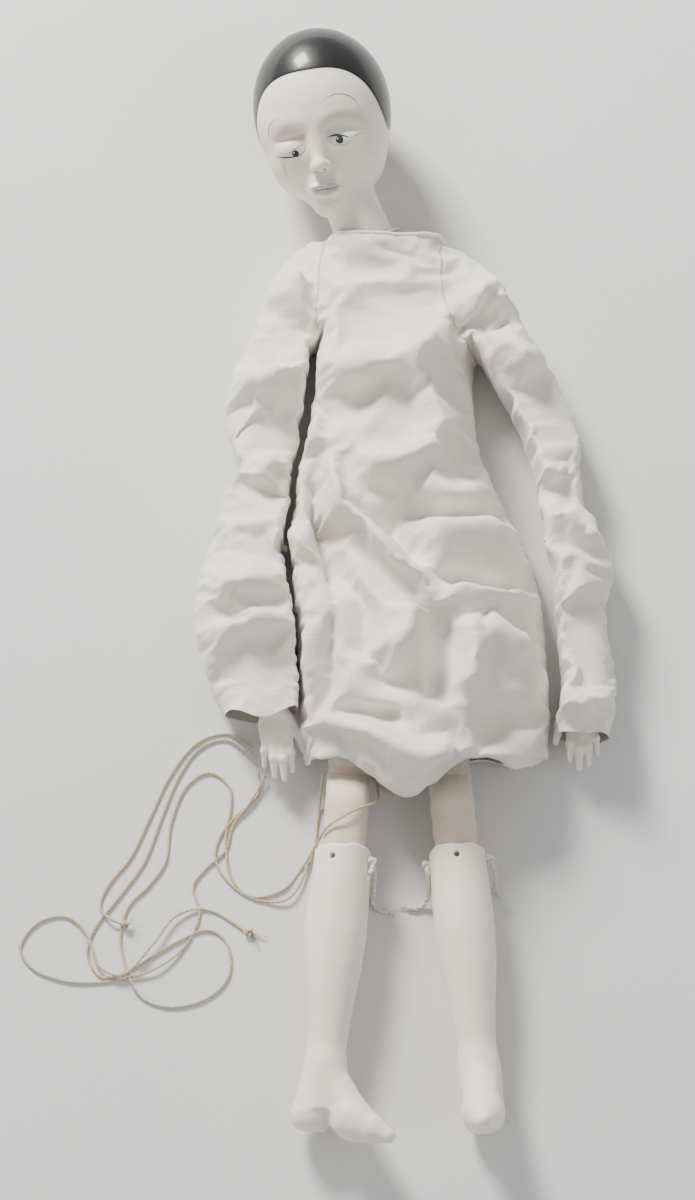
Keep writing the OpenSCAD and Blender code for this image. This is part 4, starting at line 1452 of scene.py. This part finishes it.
front_loop = lying[[first_corner, *neck_front, last_corner]]
neck_row = smooth_line(front_loop + (0, -2.6, 0), 1.0)
cloth_tree = BVHTree.FromPolygons([tuple(p) for p in cloth_at], cloth_faces)


def onto_cloth(line, above):
    """The line laid on the gown's upper side."""
    found = [(x, y, top_of(cloth_tree, x, y)) for x, y, _ in line]
    return np.array([(x, y, z + above) for x, y, z in found if z is not None])


GOWN_THREAD, STITCH_LONG, ABOVE_CLOTH, FROM_CUFF = 0.32, 1.1, 0.05, 4.5
neck_stitches = stitches("neck_stitches", [onto_cloth(neck_row, ABOVE_CLOTH)], 3.2, STITCH_LONG, GOWN_THREAD, 4)
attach(neck_stitches, "torso")
for side, s in SIDES:
    cuff = edge[np.flatnonzero(kinds == "cuff")]
    cuff = cuff[cuff[:, 0] * OUTWARD[side] > 0]
    row = smooth_line(np.column_stack([cuff + (0, FROM_CUFF), np.zeros(len(cuff))]), 1.0)
    row = onto_cloth(row, ABOVE_CLOTH)
    made = stitches(f"cuff_stitches_{s}", [row], 3.6, STITCH_LONG, GOWN_THREAD, 6 + side)
    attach(made, f"forearm_{s}")

# ---------- flat sewn creases at the elbows and knees ----------


CREASE_RINGS, CREASE_SIDES, CREASE_REACH = 17, 40, 6
FROM_FOLD, ROW_POINTS = 2.3, 24


def crease(joint, s, at, degrees, half, thick, upper, lower, seed):
    """Flattened cloth between two stuffed parts, with a row of stitches each side of the fold."""
    angles = angles_round(CREASE_SIDES)
    y = np.linspace(CREASE_REACH, -CREASE_REACH, CREASE_RINGS)
    fat = thick * (0.55 + 0.45 * np.abs(y / CREASE_REACH) ** 1.5)
    pull = 1 - 0.03 * np.cos(y / CREASE_REACH * math.pi / 2)
    points = np.stack([
        half * pull[:, None] * squarer(np.cos(angles), 0.6)[None],
        np.broadcast_to(y[:, None], (CREASE_RINGS, CREASE_SIDES)),
        fat[:, None] * squarer(np.sin(angles), 0.5)[None],
    ], -1).reshape(-1, 3)
    points[:, 2] += noise_at(points * (1, 1, 0.2), 3.5, seed) * 0.16
    k = np.arange(CREASE_SIDES)
    faces = ring_faces(CREASE_RINGS, CREASE_SIDES, flipped=True)
    faces += [k.tolist(), ((CREASE_RINGS - 1) * CREASE_SIDES + k)[::-1].tolist()]
    name = f"{joint}_crease_{s}"
    made = piece(name, on_limb(points, at, degrees), faces, CALICO, cut=points * (1, 1, 0.1) * MM)
    across = np.linspace(-half * 0.93, half * 0.93, ROW_POINTS)
    lines = []
    for y in (FROM_FOLD, -FROM_FOLD):
        for up in (1, -1):
            z = up * (np.interp(abs(y), (0, CREASE_REACH), (0.55 * thick, thick)) + 0.02)
            line = np.column_stack([across, np.full(ROW_POINTS, y), np.full(ROW_POINTS, z)])
            lines.append(on_limb(line, at, degrees))
    sewn = stitches(f"{name}_stitches", lines, 1.5, 1.15, 0.34, seed)
    way = on_limb([(0, -1, 0)], at * 0, degrees)[0]
    for obj in (made, sewn):
        (at - way * 3) * MM
        (at + way * 3) * MM
        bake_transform(obj)
    flat = (2 * half * MM, 2 * CREASE_REACH * MM)


for side, s in SIDES:
    elbow_turn = FOREARM_TURN[side] * 0.5 + UPPER_ARM_TURN[side] * 0.5
    crease("elbow", s, ELBOW_AT[side], elbow_turn, 7.2, 1.0, "upper_arm", "forearm", 31 + side)
    knee_turn = (THIGH_TURN[side] + CALF_TURN[side]) / 2
    crease("knee", s, KNEE_AT[side], knee_turn, 9.5, 1.1, "thigh", "calf", 35 + side)

# ---------- neck cloth and its cord ----------

CUP_R, CUP_RINGS, CUP_SIDES, CUP_PLEATS = 13.9, 22, 96, 22
TIE_RING_R, TIE_RING_D = 15.3, 1.4
side_way = np.cross(NECK_WAY, (0, 0, 1.0))
side_way /= np.linalg.norm(side_way)
up_way = np.cross(side_way, NECK_WAY)


def round_the_neck(angles):
    return np.cos(angles)[:, None] * side_way + np.sin(angles)[:, None] * up_way


turns = angles_round(CUP_SIDES)
climb = np.radians(np.linspace(-62, 4, CUP_RINGS))
near_tie = np.exp(-(((np.degrees(climb) - 2) / 22) ** 2))
radius = CUP_R + 0.35 * np.cos(turns * CUP_PLEATS)[None] * near_tie[:, None] + 0.5
points = NECK_AT + (radius * np.cos(climb)[:, None])[..., None] * round_the_neck(turns)[None]
points = points + (radius * np.sin(climb)[:, None])[..., None] * NECK_WAY
cut = np.column_stack([
    np.tile(turns * CUP_R, CUP_RINGS), np.repeat(climb * CUP_R, CUP_SIDES), np.zeros(CUP_RINGS * CUP_SIDES),
]) * MM
neck_gathers = piece("neck_gathers", points.reshape(-1, 3), ring_faces(CUP_RINGS, CUP_SIDES), CALICO, cut=cut)
carried(neck_gathers, "neck", "calico", "neck_cloth")
# The cord's ends overlap a little
ring_line = NECK_AT + NECK_WAY + TIE_RING_R * round_the_neck(np.append(turns, [0, turns[1]]))
neck_cord = piece("neck_tie_cord", *twisted(ring_line, TIE_RING_D, lay=4), COTTON)
carried(neck_cord, "neck", "cotton", "neck_tie")

# ---------- ties through the rims of boots and hands ----------

TIE_D, TIE_BELOW_RIM = 2.1, 5
BOOT_TIES = (
    ((90, (
        ((-12.4, -137, 12), (-12.8, -143, 4), (-13, -147.6, 1.3), (-10, -150.2, 1.0), (-6.5, -151, 0.9)),
        ((-13.4, -136.5, 19), (-14.6, -139.5, 20.4)),
    )),),
    ((180, (((10.6, -138, 14), (11.2, -143, 7), (9.4, -147.6, 2.2), (5.4, -149.4, 1.0), (1.7, -149.2, 0.9)),)),
     (0, (((39.8, -136, 10), (40.0, -140.5, 4.5), (40.6, -142.5, 2.4)),))),
)


def tie(node, body, at, degrees, roll, rim, radius, knots, size, seed):
    """Knots outside the tie holes, with the cord through each hole and its loose ends."""
    parts = []
    for k, (angle, tails) in enumerate(knots):
        out = np.array((math.cos(math.radians(angle)), 0, math.sin(math.radians(angle)))) @ turn(roll, "Y").T
        hole = (0, -rim - TIE_BELOW_RIM, 0)
        inner = on_limb([out * (radius - 2.5) + hole], at, degrees)[0]
        centre = on_limb([out * (radius + size * 0.9) + hole], at, degrees)[0]
        parts.append(tube(smooth_line([inner, (inner + centre) / 2, centre], 0.6), 0.75, 8))
        for extra, tilt in ((0, 40), (0.35, 115)):
            parts.append(knot(centre + np.array((0, -extra, extra)), size * 0.8, TIE_D * 0.62, tilt + 25 * k))
        for tail in tails:
            line = smooth_line([centre, *np.array(tail, float)], 0.5)
            way = (line[-1] - line[-4]) / np.linalg.norm(line[-1] - line[-4])
            parts += [twisted(line, TIE_D, lay=4.0), frays(line[-1], way, 3.2, 12, seed + k)]
    made = piece(node.replace("tie", "tie_cord"), *joined(parts), COTTON)
    carried(made, body, "cotton", node)


for (side, s), knots, seed in zip(SIDES, BOOT_TIES, (51, 57)):
    tie(
        f"boot_tie_{s}", f"calf_{s}", KNEE_AT[side], CALF_TURN[side], BOOT_ROLL[side], RIM, 11.9, knots, 1.9, seed,
    )
for side, s in SIDES:
    tie(
        f"arm_tie_{s}", f"forearm_{s}", ELBOW_AT[side], FOREARM_TURN[side], 0, HAND_RIM, 8.6,
        ((0, ()), (180, ())), 1.3, 61,
    )

# ---------- floor ----------

FLOOR_HALF = 3000


def floor_paper():
    shader = Shader("floor_paper", Specular_IOR_Level=0.3)
    where = shader.place()
    cloudy = shader.noise(where, 3, 3).ramp(0.3, 0.7)
    shader.out("Base Color", shader.mix(cloudy, rgb(0.72, 0.725, 0.73), rgb(0.69, 0.695, 0.70)))
    shader.out("Roughness", shader.noise(where, 40, 2).ramp(0.3, 0.7, 0.75, 0.85))
    return shader.material


corners = [(x * FLOOR_HALF, y * FLOOR_HALF, 0) for x, y in ((-1, -1), (1, -1), (1, 1), (-1, 1))]
floor = piece("floor", corners, [(0, 1, 2, 3)], floor_paper())
